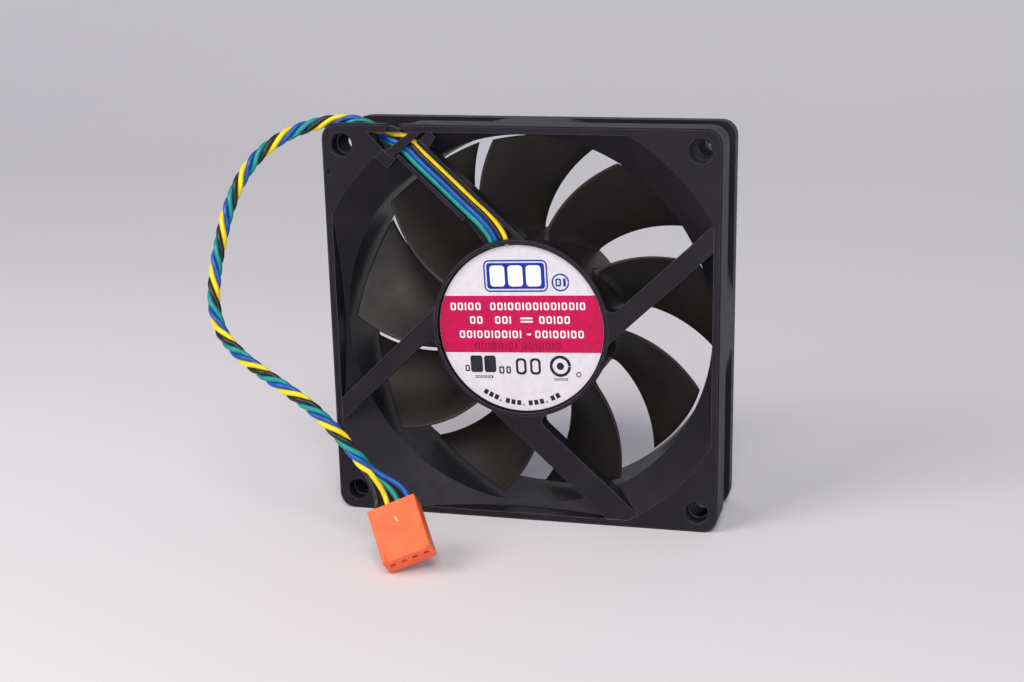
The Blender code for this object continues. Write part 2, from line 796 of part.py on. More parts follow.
def add_blade(bm, number, length_steps=7, chord_steps=7):
    sides = ([], [])
    for i in range(length_steps + 1):
        part = i / length_steps
        thickness = blade_section(part)[1] * MM
        rows = ([], [])
        for j in range(chord_steps + 1):
            chord = j / chord_steps
            middle = blade_point(number, part, chord)
            along = blade_point(number, part, chord + 0.01) - blade_point(number, part, chord - 0.01)
            out = blade_point(number, part + 0.01, chord) - blade_point(number, max(part - 0.01, 0.0), chord)
            normal = along.cross(out)
            normal -= normal.project(Vector((middle.x, 0.0, middle.z)))
            normal.normalize()
            half = thickness / 2 * (0.45 + 0.55 * math.sin(math.pi * chord) ** 0.5)
            rows[0].append(bm.verts.new(middle + normal * half))
            rows[1].append(bm.verts.new(middle - normal * half))
        sides[0].append(rows[0])
        sides[1].append(rows[1])
    for rows in sides:
        for a, b in zip(rows, rows[1:]):
            for j in range(chord_steps):
                bm.faces.new((a[j], a[j + 1], b[j + 1], b[j]))
    top, under = sides
    for i in (0, length_steps):
        for j in range(chord_steps):
            bm.faces.new((top[i][j], top[i][j + 1], under[i][j + 1], under[i][j]))
    for j in (0, chord_steps):
        for i in range(length_steps):
            bm.faces.new((top[i][j], top[i + 1][j], under[i + 1][j], under[i][j]))


def impeller(axis):
    """The hub cup with its blades, in one moulding."""
    profile = [(0.0, HUB_BACK)]
    for i in range(5):
        x, y = polar(HUB_EDGE, 90.0 - 90.0 * i / 4)
        profile.append((HUB_RADIUS - HUB_EDGE + x, HUB_BACK - HUB_EDGE + y))
    inner = HUB_RADIUS - HUB_WALL
    profile += [(HUB_RADIUS, HUB_FRONT), (inner, HUB_FRONT)]
    profile += [(inner, HUB_BACK - HUB_END_WALL), (0.0, HUB_BACK - HUB_END_WALL)]
    made = add_object("impeller", turned("impeller", profile, 72), blade_plastic(), axis)
    bm = bmesh.new()
    for number in range(BLADES):
        add_blade(bm, number)
    combine(made, cutter("blades", finish_mesh("blades", bm)), "UNION")


def rotor(axis):
    """Everything that turns, from the moulding to the ring that keeps the shaft in."""
    impeller(axis)
    inner, outer = YOKE_RADII
    yoke = (
        (YOKE_BORE, YOKE_BACK - YOKE_WALL),
        (inner, YOKE_BACK - YOKE_WALL),
        (inner, YOKE_FRONT),
        (outer, YOKE_FRONT),
        (outer, YOKE_BACK),
        (YOKE_BORE, YOKE_BACK),
    )
    add_object("rotor_yoke", turned("rotor_yoke", yoke, 64), steel(), axis)
    magnet = material("ferrite", (0.06, 0.06, 0.065), 0.6)
    magnet_ring = turned("ring_magnet", tube_profile(*MAGNET_RADII, *MAGNET_ENDS), 64)
    add_object("ring_magnet", magnet_ring, magnet, axis)
    bushing = tube_profile(SHAFT_RADIUS + FIT_GAP, YOKE_BORE - FIT_GAP, BUSHING_FRONT, YOKE_BACK)
    add_object("shaft_bushing", turned("shaft_bushing", bushing, 32), brass(), axis)
    groove_start, groove_end = GROOVE_DEPTHS
    shaft = (
        (0.0, SHAFT_FRONT),
        (SHAFT_RADIUS, SHAFT_FRONT),
        (SHAFT_RADIUS, groove_start),
        (GROOVE_RADIUS, groove_start),
        (GROOVE_RADIUS, groove_end),
        (SHAFT_RADIUS, groove_end),
        (SHAFT_RADIUS, YOKE_BACK),
        (0.0, YOKE_BACK),
    )
    add_object("shaft", turned("shaft", shaft, 32), steel(), axis)
    ring = prism("retaining_ring", split_ring(), groove_start + RING_PLAY, groove_end - RING_PLAY)
    add_object("retaining_ring", ring, white_nylon(), axis)


def split_ring(steps=20):
    """A snap ring with a narrow slit."""
    first = RING_SLIT / 2
    turns = [first + (360.0 - RING_SLIT) * i / steps for i in range(steps + 1)]
    outline = [polar(RING_RADIUS, turn) for turn in turns]
    outline += [polar(GROOVE_RADIUS + FIT_GAP, turn) for turn in reversed(turns)]
    return outline


# Plug and lead


def plug_axes():
    """Unit vectors across the contacts, towards the mating end and through the thickness."""
    forward = Vector(PLUG_FORWARD).normalized()
    across = Vector(PLUG_ACROSS)
    across = (across - forward * across.dot(forward)).normalized()
    return across, forward, across.cross(forward)


def plug_centre():
    """The plug leans on its lowest corner, just above the ground."""
    reach = sum(abs(axis.z) * size / 2 for axis, size in zip(plug_axes(), PLUG_SIZE))
    x, depth = PLUG_CENTRE
    return x, depth, reach + GROUND_GAP - FAN_SIDE / 2


def plug_matrix():
    place = Matrix.Translation(local_point(*plug_centre()) + Vector((0.0, 0.0, FAN_SIDE / 2 * MM)))
    return place @ Matrix(plug_axes()).transposed().to_4x4()


def add_block(bm, low, high):
    corners = [(x, y, z) for x in (low[0], high[0]) for y in (low[1], high[1]) for z in (low[2], high[2])]
    verts = [bm.verts.new(Vector(corner) * MM) for corner in corners]
    for face in ((0, 1, 3, 2), (4, 6, 7, 5), (0, 4, 5, 1), (2, 3, 7, 6), (0, 2, 6, 4), (1, 5, 7, 3)):
        bm.faces.new([verts[i] for i in face])


def add_sides(bm, outline, start, end):
    """A prism along the plug's length, from an outline across it."""
    rings = [[bm.verts.new(Vector((x, y, z)) * MM) for x, z in outline] for y in (start, end)]
    for i in range(len(outline)):
        j = (i + 1) % len(outline)
        bm.faces.new((rings[0][i], rings[0][j], rings[1][j], rings[1][i]))
    bm.faces.new(rings[0])
    bm.faces.new(rings[1])


def plug_object(name, bm, surface=None):
    if surface is None:
        made = cutter(name, finish_mesh(name, bm, False))
    else:
        made = add_object(name, finish_mesh(name, bm, False), surface)
    made.matrix_world = plug_matrix()
    return made


def contact_offsets():
    return [CONTACT_PITCH * (i - 1.5) for i in range(4)]


def add_slots(housing, name, size, start, end):
    """Cuts a square way through the plug for each contact."""
    bm = bmesh.new()
    for x in contact_offsets():
        add_block(bm, (x - size / 2, start, -size / 2), (x + size / 2, end, size / 2))
    combine(housing, plug_object(name, bm), "DIFFERENCE")


def connector():
    """The four-way plug: end pillars, a bevelled face between them and two guide ribs underneath."""
    half_width, half_length, half_thickness = (size / 2 for size in PLUG_SIZE)
    bm = bmesh.new()
    add_sides(bm, rounded_rectangle(half_width, half_thickness, 0.3, 2), -half_length, half_length)
    orange = material("plug_nylon", (0.75, 0.14, 0.05), 0.4)
    housing = plug_object("connector_housing", bm, orange)
    cavity_end = half_length - FACE_WALL
    add_slots(housing, "cavities", CAVITY, -half_length - 1.0, cavity_end)
    add_slots(housing, "contact_openings", CONTACT_OPENING, cavity_end - 0.5, half_length + 1.0)
    bm = bmesh.new()
    rings = []
    for x in (-half_width + PLUG_PILLAR, half_width - PLUG_PILLAR):
        start = half_length - PLUG_BEVEL_LENGTH
        face = -half_thickness
        wedge = ((start, face), (half_length + 0.5, face - 0.5), (half_length + 0.5, face + PLUG_BEVEL_DEPTH))
        rings.append([bm.verts.new(Vector((x, y, z)) * MM) for y, z in wedge])
    bm.faces.new(rings[0])
    bm.faces.new(rings[1])
    for i in range(3):
        j = (i + 1) % 3
        bm.faces.new((rings[0][i], rings[0][j], rings[1][j], rings[1][i]))
    combine(housing, plug_object("plug_bevel", bm), "DIFFERENCE")
    bm = bmesh.new()
    for x in (-CONTACT_PITCH, CONTACT_PITCH):
        low = (x - RIB_WIDTH / 2, RIB_ENDS[0], half_thickness - 0.2)
        add_block(bm, low, (x + RIB_WIDTH / 2, RIB_ENDS[1], half_thickness + RIB_HEIGHT))
    combine(housing, plug_object("ribs", bm), "UNION")
    for number, x in enumerate(contact_offsets(), start=1):
        terminal(number, x)


def terminal(number, x):
    """A box contact, open at both ends."""
    start, end = TERMINAL_ENDS
    outer = ((1, 1), (-1, 1), (-1, -1), (1, -1))
    bm = bmesh.new()
    rings = []
    wide = TERMINAL / 2
    narrow = wide - TERMINAL_WALL
    for half, y in ((wide, start), (wide, end), (narrow, end), (narrow, start)):
        rings.append([bm.verts.new(Vector((x + half * a, y, half * b)) * MM) for a, b in outer])
    for a, b in zip(rings, rings[1:] + rings[:1]):
        for i in range(4):
            j = (i + 1) % 4
            bm.faces.new((a[i], a[j], b[j], b[i]))
    tin = material("tin", (0.7, 0.7, 0.68), 0.3, 1.0)
    plug_object(f"terminal_{number}", bm, tin)


def lead_route():
    """The route's points with the last stretch into the plug, as an array of x, depth, height."""
    _, forward, _ = plug_axes()
    centre = Vector(plug_centre())
    entry = centre - forward * (PLUG_SIZE[1] / 2)
    ends = [entry - forward * PLUG_STRAIGHT, entry, entry + forward * WIRE_INSIDE_PLUG]
    return np.array([*LEAD_ROUTE, *(tuple(point) for point in ends)])


def smooth_curve(points, steps=24):
    """A centripetal Catmull-Rom curve through the points."""
    first = 2 * points[0] - points[1]
    last = 2 * points[-1] - points[-2]
    path = np.vstack([first, points, last])
    out = []
    for p0, p1, p2, p3 in zip(path, path[1:], path[2:], path[3:]):
        t1 = np.linalg.norm(p1 - p0) ** 0.5
        t2 = t1 + np.linalg.norm(p2 - p1) ** 0.5
        t3 = t2 + np.linalg.norm(p3 - p2) ** 0.5
        for t in np.linspace(t1, t2, steps, endpoint=False):
            a1 = p0 + (p1 - p0) * t / t1
            a2 = p1 + (p2 - p1) * (t - t1) / (t2 - t1)
            a3 = p2 + (p3 - p2) * (t - t2) / (t3 - t2)
            b1 = a1 + (a2 - a1) * t / t2
            b2 = a2 + (a3 - a2) * (t - t1) / (t3 - t1)
            out.append(b1 + (b2 - b1) * (t - t1) / (t2 - t1))
    out.append(points[-1])
    return np.array(out)


def ease(value):
    value = min(max(value, 0.0), 1.0)
    return value * value * (3.0 - 2.0 * value)


def lead_samples(count):
    """Evenly spaced places, side directions and distances along the middle of the lead."""
    dense = smooth_curve(lead_route())
    steps = np.linalg.norm(np.diff(dense, axis=0), axis=1)
    run = np.concatenate([[0.0], np.cumsum(steps)])
    distances = np.linspace(0.0, run[-1], count)
    middle = np.stack([np.interp(distances, run, dense[:, k]) for k in range(3)], axis=1)
    ahead = np.stack([np.interp(distances + 0.5, run, dense[:, k]) for k in range(3)], axis=1)
    behind = np.stack([np.interp(distances - 0.5, run, dense[:, k]) for k in range(3)], axis=1)
    tangent = ahead - behind
    tangent /= np.linalg.norm(tangent, axis=1)[:, None]
    back = np.array([0.0, 1.0, 0.0]) - tangent[:, 1:2] * tangent
    back /= np.linalg.norm(back, axis=1)[:, None]
    side = np.cross(back, tangent)
    return distances, middle, side, back


def wire_line(order, phase, contact, count=WIRE_POINTS):
    """One wire: flat in the channel, twisted with the others, then fanned out to its contact."""
    distances, middle, side, back = lead_samples(count)
    length = distances[-1]
    across = np.array(plug_axes()[0])
    plug_turn = math.atan2(across @ back[-1], across @ side[-1])
    total = plug_turn + math.pi / 2
    total -= 2 * math.pi * round(total / (2 * math.pi) + TWIST_TURNS)
    twist_end = length - FAN_START
    line = []
    for distance, centre, along, up in zip(distances, middle, side, back):
        share = min(max((distance - GATHER_END) / (twist_end - GATHER_END), 0.0), 1.0)
        turn = phase + total * share
        twisted = BUNDLE_RADIUS * np.array([math.cos(turn), math.sin(turn)])
        flat = np.array([WIRE_PITCH * order, 0.0])
        gathered = ease((distance - GATHER_START) / (GATHER_END - GATHER_START))
        offset = flat + (twisted - flat) * gathered
        offset = offset * (1.0 + GATHER_SPREAD * math.sin(math.pi * gathered))
        fanned = ease((distance - twist_end) / (FAN_START - FAN_END))
        row = contact * np.array([math.cos(plug_turn), math.sin(plug_turn)])
        offset = offset + (row - offset) * fanned
        line.append(centre + offset[0] * along + offset[1] * up)
    return line


def wire(name, surface, order, phase, contact):
    curve = bpy.data.curves.new(name, "CURVE")
    curve.dimensions = "3D"
    curve.bevel_depth = WIRE_RADIUS * MM
    curve.bevel_resolution = 2
    curve.use_fill_caps = True
    line = wire_line(order, phase, contact)
    spline = curve.splines.new("POLY")
    spline.points.add(len(line) - 1)
    for point, (x, depth, height) in zip(spline.points, line):
        point.co = (*local_point(x, depth, height), 1.0)
    add_object(name, curve, surface)


def lead():
    """Four wires; order is the place in the channel and phase the place round the twist."""
    contacts = contact_offsets()
    black = material("wire_black", (0.02, 0.02, 0.02), 0.4)
    yellow = material("wire_yellow", (0.9, 0.75, 0.02), 0.4)
    green = material("wire_green", (0.0, 0.35, 0.35), 0.4)
    blue = material("wire_blue", (0.0, 0.12, 0.55), 0.4)
    wire("wire_black", black, 0.5, math.pi / 2, contacts[0])
    wire("wire_yellow", yellow, 1.5, 0.0, contacts[1])
    wire("wire_green", green, -1.5, math.pi, contacts[2])
    wire("wire_blue", blue, -0.5, 3 * math.pi / 2, contacts[3])


def main():
    clear_scene()
    frame()
    label()
    bearing()
    circuit()
    stator()
    axis = bpy.data.objects.new("rotor_axis", None)
    bpy.context.collection.objects.link(axis)
    axis.location = (0.0, 0.0, FAN_SIDE / 2 * MM)
    rotor(axis)
    connector()
    lead()


main()
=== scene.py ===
"""The looks of the case fan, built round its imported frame.

Sizes are in millimetres and turned into metres by place(): x to the right, depth
from the frame's front face towards the back, and height above the fan's axis.
Angles are in degrees, apart from those of the blades and of the wires' twist, which
are in radians.
"""

import math

import bmesh
import bpy
import numpy as np
from mathutils import Matrix, Vector


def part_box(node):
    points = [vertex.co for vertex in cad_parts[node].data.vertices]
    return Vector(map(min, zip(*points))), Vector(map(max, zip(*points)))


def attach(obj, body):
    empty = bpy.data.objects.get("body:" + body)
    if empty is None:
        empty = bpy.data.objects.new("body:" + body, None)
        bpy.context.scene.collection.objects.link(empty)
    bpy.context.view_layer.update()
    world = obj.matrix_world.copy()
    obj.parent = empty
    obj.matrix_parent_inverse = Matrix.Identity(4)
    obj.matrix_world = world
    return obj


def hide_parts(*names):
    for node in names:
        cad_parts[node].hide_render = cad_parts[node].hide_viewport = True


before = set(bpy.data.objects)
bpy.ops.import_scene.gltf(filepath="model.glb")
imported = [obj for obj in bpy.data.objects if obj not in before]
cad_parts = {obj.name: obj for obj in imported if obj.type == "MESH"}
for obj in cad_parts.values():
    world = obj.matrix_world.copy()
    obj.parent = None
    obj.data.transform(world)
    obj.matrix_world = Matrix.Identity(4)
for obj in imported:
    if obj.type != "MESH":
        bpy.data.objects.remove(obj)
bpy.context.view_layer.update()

MM = 0.001
FRAME_LOW, FRAME_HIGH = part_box("frame")
AXIS_HEIGHT = (FRAME_LOW[2] + FRAME_HIGH[2]) / 2
FRONT = FRAME_LOW[1]

# Lead. The wires are gathered at a distance from the motor base, and fan out at one from the end.
WIRE_RADIUS = 0.6
WIRE_PITCH = 1.17
BUNDLE_RADIUS = 0.87
TWIST_TURNS = 10
WIRE_POINTS = 320
GATHER_START = 32.5
GATHER_END = 40.5
GATHER_SPREAD = 0.12
FAN_START = 12.5
FAN_END = 3.0
ROUTE_STEPS = 24
EASING_PASSES = 14

# Plug. Its size is across the contacts, towards the mating end and through the thickness.
CONTACT_PITCH = 2.54
PLUG_SIZE = (10.9, 12.9, 6.0)
PLUG_CENTRE = (-17.4, -35.0)
PLUG_ACROSS = (0.89, 0.305, 0.335)
PLUG_FORWARD = (0.47, -0.611, -0.637)
GROUND_GAP = 0.05
WIRE_INSIDE_PLUG = 2.0
PLUG_STRAIGHT = 3.6
PLUG_WELD = 0.005
PLUG_ROUNDING = 0.14
PLUG_FLAT_ANGLE = 1.0
PLUG_EDGE_ANGLE = 15.0

# Mark of the moulding gate, on the plug's upper face
GATE_PLACE = (0.2, -2.3)
GATE_HALF_SIZE = (0.17, 0.9, 0.12)
GATE_LEAN = -17.0
GATE_RIPPLES = 9.0
GATE_RIPPLE = 0.15

# Hub
HUB_RADIUS = 20.2
HUB_WALL = 1.4
HUB_FRONT = 5.0
HUB_BACK = 24.2
HUB_END_WALL = 1.3
HUB_EDGE = 1.5
HUB_LIP = 0.3
HUB_SEGMENTS = 144

# Dish in the hub's end. Its rim is measured from the hub's side, and its slope is how far it
# reaches inwards and outwards from the rim.
DISH_RIM = 4.2
DISH_DEPTH = 0.35
DISH_FOOT = 0.2
DISH_BROW = 0.25
DISH_SLOPE = (0.5, 0.3)

# Blades. A pair is the values at the root and at the tip.
BLADES = 9
BLADE_RADIUS = (19.4, 42.8)
BLADE_NEAR_DEPTH = (7.4, 8.4)
BLADE_FAR_DEPTH = (21.6, 20.4)
BLADE_THICKNESS = (1.5, 1.0)
BLADE_SPAN = math.radians(30.5)
BLADE_SWEEP = math.radians(18.5)
BLADE_SWEEP_POWER = 1.3
BLADE_FIRST_TIP = math.radians(100.5)
BLADE_CAMBER = 0.14
BLADE_WIDTH = 17.0
BLADE_SLANT = 1.3
BLADE_EDGE_SHARE = 0.55
EDGE_ROUND = 0.45
ROOT_FILLET = 0.8
FILLET_REACH = 0.7
BLADE_STEPS = 34
EDGE_STEPS = 6
BLADE_WELD = 0.004
PROBE = 0.01

# Label: the thickness of one layer of print, and how far the print is turned on the disc
INK = 0.03
LABEL_TURN = 2.4

# Print on the label, in parts of its radius. A box is its left, right, low and high edges,
# and a word is its left and right ends, its middle height and, where they differ, its height.
BAND = (-0.286, 0.4)
BAND_EDGE = 0.998
BAND_WORD_HEIGHT = 0.09
BAND_WORDS = (
    (-0.85, -0.45, 0.272),
    (-0.36, 0.83, 0.272),
    (-0.62, -0.44, 0.108),
    (-0.31, -0.08, 0.108),
    (0.23, 0.61, 0.108),
    (-0.76, 0.0, -0.065),
    (0.17, 0.77, -0.065),
)
BAND_DASHES = (
    (0.0, 0.15, 0.078, 0.098),
    (0.0, 0.15, 0.118, 0.138),
    (0.07, 0.12, -0.075, -0.055),
)
DARK_WORD_HEIGHT = 0.085
DARK_WORDS = ((-0.58, -0.06, -0.205), (0.0, 0.48, -0.205))
BADGE = (-0.415, 0.36, 0.445, 0.825)
BADGE_LINE = 0.018
BADGE_CORNERS = (0.07, 0.05, 0.035)
BADGE_BLOCKS = ((-0.34, -0.16, 0.51, 0.76), (-0.12, 0.06, 0.51, 0.76), (0.1, 0.28, 0.51, 0.76))
BADGE_BLOCK_CORNER = 0.04
BADGE_RING_CENTRE = (0.51, 0.555)
BADGE_RING_RADIUS = 0.106
BADGE_RING_WORD = (0.45, 0.575, 0.555, 0.095)
LOWER_WORDS = (
    (-0.72, -0.665, -0.48, 0.08),
    (-0.6, -0.38, -0.585, 0.035),
    (-0.3, -0.155, -0.5, 0.09),
    (0.375, 0.535, -0.61, 0.03),
)
LOWER_BLOCKS = ((-0.65, -0.5, -0.53, -0.325), (-0.48, -0.335, -0.53, -0.325))
LOWER_BLOCK_CORNER = 0.03
OPEN_BOXES = ((-0.09, 0.04, -0.555, -0.355), (0.085, 0.215, -0.555, -0.355))
OPEN_BOX_LINE = 0.028
OPEN_BOX_CORNERS = (0.05, 0.03)
TARGET_CENTRE = (0.455, -0.45)
TARGET_RADIUS = 0.13
TARGET_LINE = 0.035
TARGET_DOT = 0.045
SPOT_CENTRE = (0.675, -0.55)
SPOT_RADIUS = 0.032
SPOT_LINE = 0.01
CURVED_LINE_RADIUS = 0.935
CURVED_LINE_ENDS = (-123.5, -60.5)
CURVED_LINE_HEIGHT = 0.06
CURVED_LINE_MARKS = 14
RING_END = 357.0

# Marks of a word, in parts of its height, and the width in strokes from which a mark is open
MARK_STROKE = 0.2
MARK_GAP = 0.26
MARK_WIDTH = 0.72
MARK_OPEN_FROM = 2.5

# Marks of the curved line, as shares of their step along it and of its height
CURVED_BLOCK = (0.7, 1.0)
CURVED_DOT = (0.3, 0.25)

# Camera, with its lens shifted sideways and up
CAMERA_PLACE = (92.2, -325.7, 77.6)
CAMERA_TURN = 13.04
CAMERA_DOWN = 15.55
CAMERA_ROLL = -0.41
CAMERA_LENS = 53.37
CAMERA_SHIFT = (-0.078, 0.0566)
CAMERA_SENSOR = 36.0

# Studio: where the lamps point, and the light from all round
LIGHT_TARGET = (0.0, 12.0, 0.0)
SKY_COLOUR = (0.86, 0.85, 0.98)
SKY_STRENGTH = 0.31

# Backdrop, in metres
FLOOR_NEAR = -2.5
COVE_START = 0.6
COVE_RADIUS = 3.0
COVE_STEPS = 48
WALL_TOP = 4.5
BACKDROP_HALF_WIDTH = 6.0

# Ends of a noise's useful range, and the cosines between a true and a rounded normal beside
# an edge and on it
NOISE_ENDS = (0.3, 0.7)
EDGE_COSINES = (0.99, 0.8)
NONE = (0.0, 0.0, 0.0)
FULL = (1.0, 1.0, 1.0)

# Middle of the lead, from the motor base along the channel to the plug
LEAD_ROUTE = (
    (-4.4, 3.15, 16.4),
    (-4.8, 2.1, 18.6),
    (-5.5, 1.75, 21.2),
    (-7.9, 1.55, 24.6),
    (-12.0, 1.55, 28.3),
    (-17.45, 1.55, 33.35),
    (-22.55, 1.6, 37.95),
    (-26.4, 2.0, 41.4),
    (-30.0, 3.2, 42.4),
    (-33.0, 4.9, 43.3),
    (-36.0, 5.6, 44.7),
    (-39.4, 5.7, 45.9),
    (-43.9, 5.4, 46.1),
    (-49.0, 4.4, 45.3),
    (-54.6, 2.3, 43.3),
    (-60.0, -1.0, 39.5),
    (-63.8, -4.2, 34.2),
    (-66.1, -7.1, 27.9),
    (-67.4, -9.9, 20.8),
    (-68.0, -12.8, 13.5),
    (-67.4, -15.8, 6.6),
    (-64.6, -18.7, 1.0),
    (-59.5, -21.4, -3.1),
    (-53.2, -23.9, -6.4),
    (-46.3, -26.0, -9.6),
    (-39.8, -27.7, -13.1),
    (-34.2, -28.8, -17.6),
    (-30.0, -28.9, -22.3),
    (-26.2, -28.9, -26.9),
)


def place(x, depth, height):
    """The point in metres of a place in millimetres."""
    return Vector((x * MM, FRONT + depth * MM, AXIS_HEIGHT + height * MM))


def polar(radius, degrees):
    """The two coordinates of a point at a radius and an angle."""
    turn = math.radians(degrees)
    return (radius * math.cos(turn), radius * math.sin(turn))


def between(pair, part):
    """The value a part of the way from the first of a pair to the second."""
    return pair[0] + (pair[1] - pair[0]) * part


# Materials


class Surface:
    """A Principled material and the nodes that colour it."""

    def __init__(self, name, roughness, metallic=0.0, specular=0.5):
        self.material = bpy.data.materials.new(name)
        self.material.use_nodes = True
        self.tree = self.material.node_tree
        self.shader = self.tree.nodes["Principled BSDF"]
        self.shader.inputs["Roughness"].default_value = roughness
        self.shader.inputs["Metallic"].default_value = metallic
        self.shader.inputs["Specular IOR Level"].default_value = specular
        self.where = self.tree.nodes.new("ShaderNodeTexCoord").outputs["Object"]

    def link(self, source, target):
        """Joins a node's output to another node's input."""
        self.tree.links.new(source, target)

    def noise(self, size, detail=3.0, stretch=None):
        """Noise with patches about size millimetres across, divided by the stretch of each axis."""
        node = self.tree.nodes.new("ShaderNodeTexNoise")
        node.inputs["Scale"].default_value = 1.0 / (size * MM)
        node.inputs["Detail"].default_value = detail
        where = self.where
        if stretch is not None:
            mapping = self.tree.nodes.new("ShaderNodeMapping")
            mapping.inputs["Scale"].default_value = stretch
            self.link(where, mapping.inputs["Vector"])
            where = mapping.outputs["Vector"]
        self.link(where, node.inputs["Vector"])
        return node.outputs["Fac"]

    def ramp(self, value, dark, light, ends=NOISE_ENDS):
        """A colour that goes from dark to light as a value goes from end to end."""
        node = self.tree.nodes.new("ShaderNodeValToRGB")
        for element, position, colour in zip(node.color_ramp.elements, ends, (dark, light)):
            element.position = position
            element.color = (*colour, 1.0)
        self.link(value, node.inputs["Fac"])
        return node.outputs["Color"]

    def mix(self, factor, first, second):
        """A mix of two colours, which are three numbers or another node's output."""
        node = self.tree.nodes.new("ShaderNodeMix")
        node.data_type = "RGBA"
        self.link(factor, node.inputs[0])
        for index, value in ((6, first), (7, second)):
            if isinstance(value, tuple):
                node.inputs[index].default_value = (*value, 1.0)
            else:
                self.link(value, node.inputs[index])
        return node.outputs[2]

    def spread(self, noise, low, high):
        """Stretches the useful range of a noise to low and high."""
        node = self.tree.nodes.new("ShaderNodeMapRange")
        node.inputs["From Min"].default_value = NOISE_ENDS[0]
        node.inputs["From Max"].default_value = NOISE_ENDS[1]
        node.inputs["To Min"].default_value = low
        node.inputs["To Max"].default_value = high
        self.link(noise, node.inputs["Value"])
        return node.outputs["Result"]

    def colour(self, source):
        """Colours the surface."""
        self.link(source, self.shader.inputs["Base Color"])

    def vary_roughness(self, noise, low, high):
        """Varies the surface's roughness between low and high."""
        self.link(self.spread(noise, low, high), self.shader.inputs["Roughness"])

    def bump(self, height, strength, distance, under=None):
        """Makes the surface uneven, over the normals that are under it."""
        node = self.tree.nodes.new("ShaderNodeBump")
        node.inputs["Strength"].default_value = strength
        node.inputs["Distance"].default_value = distance * MM
        self.link(height, node.inputs["Height"])
        if under is not None:
            self.link(under, node.inputs["Normal"])
        self.link(node.outputs["Normal"], self.shader.inputs["Normal"])

    def rounding(self, radius):
        """The normals of an edge rounded over, and how close the nearest edge is."""
        bevel = self.tree.nodes.new("ShaderNodeBevel")
        bevel.samples = 6
        bevel.inputs["Radius"].default_value = radius * MM
        flat = self.tree.nodes.new("ShaderNodeNewGeometry")
        compare = self.tree.nodes.new("ShaderNodeVectorMath")
        compare.operation = "DOT_PRODUCT"
        self.link(bevel.outputs["Normal"], compare.inputs[0])
        self.link(flat.outputs["Normal"], compare.inputs[1])
        edge = self.tree.nodes.new("ShaderNodeMapRange")
        edge.inputs["From Min"].default_value = EDGE_COSINES[0]
        edge.inputs["From Max"].default_value = EDGE_COSINES[1]
        self.link(compare.outputs["Value"], edge.inputs["Value"])
        return bevel.outputs["Normal"], edge.outputs["Result"]


def moulded(name, dark, light, edge_wear_and_highlight_colour, roughness, grain, radius, specular):
    """Moulded plastic: spark-eroded grain, faint clouding and edges painted lighter, partly as rubbed
    wear and partly as a painted highlight.
    """
    made = Surface(name, roughness, specular=specular)
    body = made.ramp(made.noise(size=9.0, detail=4.0), dark, light, ends=(0.35, 0.7))
    rounded, edge = made.rounding(radius)
    # The lighter colour near edges is partly real wear and partly a painted highlight along the
    # edges.
    wear_and_highlight_patches = made.mix(made.spread(made.noise(size=1.6), low=0.35, high=1.0), NONE, FULL)
    worn_and_highlit_edges = made.mix(edge, NONE, wear_and_highlight_patches)
    made.colour(made.mix(worn_and_highlit_edges, body, edge_wear_and_highlight_colour))
    made.vary_roughness(made.noise(size=3.0), roughness - 0.035, roughness + 0.035)
    made.bump(made.noise(grain, detail=2.0), strength=0.25, distance=0.02, under=rounded)
    return made.material


def insulation(name, dark, light):
    """Smooth wire insulation with small marks from handling."""
    made = Surface(name, roughness=0.3)
    made.colour(made.ramp(made.noise(size=2.2, detail=2.0), dark, light))
    made.vary_roughness(made.noise(size=1.0), low=0.25, high=0.4)
    made.bump(made.noise(size=0.8, detail=2.0), strength=0.12, distance=0.03)
    return made.material


def nylon(name, dark, light, roughness):
    """Satin nylon that light enters a little, also used for other matt plastics and ceramics."""
    made = Surface(name, roughness, specular=0.45)
    made.colour(made.ramp(made.noise(size=3.0), dark, light))
    made.shader.inputs["Subsurface Weight"].default_value = 0.08
    made.shader.inputs["Subsurface Scale"].default_value = 0.6 * MM
    rounded, _ = made.rounding(radius=0.2)
    made.bump(made.noise(size=0.35, detail=2.0), strength=0.15, distance=0.02, under=rounded)
    made.vary_roughness(made.noise(size=1.5), roughness - 0.05, roughness + 0.07)
    return made.material


def metal(name, dark, light, roughness, stretch=FULL):
    """Bare metal; a stretched noise gives it the lines of stacked sheets or of windings."""
    made = Surface(name, roughness, metallic=1.0)
    made.colour(made.ramp(made.noise(1.2, 4.0, stretch), dark, light))
    made.vary_roughness(made.noise(0.8, 3.0, stretch), roughness - 0.08, roughness + 0.1)
    made.bump(made.noise(0.3, 2.0, stretch), strength=0.1, distance=0.01)
    return made.material


def printed(name, dark, light, roughness):
    """Ink or film on the label, with a faint unevenness."""
    made = Surface(name, roughness, specular=0.25)
    made.colour(made.ramp(made.noise(size=1.5, detail=4.0), dark, light, ends=(0.35, 0.65)))
    made.vary_roughness(made.noise(size=4.0, detail=2.0), roughness - 0.05, roughness + 0.08)
    made.bump(made.noise(size=6.0, detail=2.0), strength=0.08, distance=0.05)
    return made.material


def board(name, mask, trace):
    """A circuit board's solder mask, lighter and a little raised over the traces."""
    made = Surface(name, roughness=0.35)
    layout = made.noise(size=1.8, detail=0.0)
    made.colour(made.ramp(layout, mask, trace, ends=(0.49, 0.51)))
    made.bump(layout, strength=0.2, distance=0.03)
    return made.material


def floor_paper(name, dark, light):
    """The backdrop's matt, nearly even surface."""
    made = Surface(name, roughness=0.85, specular=0.2)
    made.colour(made.ramp(made.noise(size=400.0), dark, light))
    return made.material
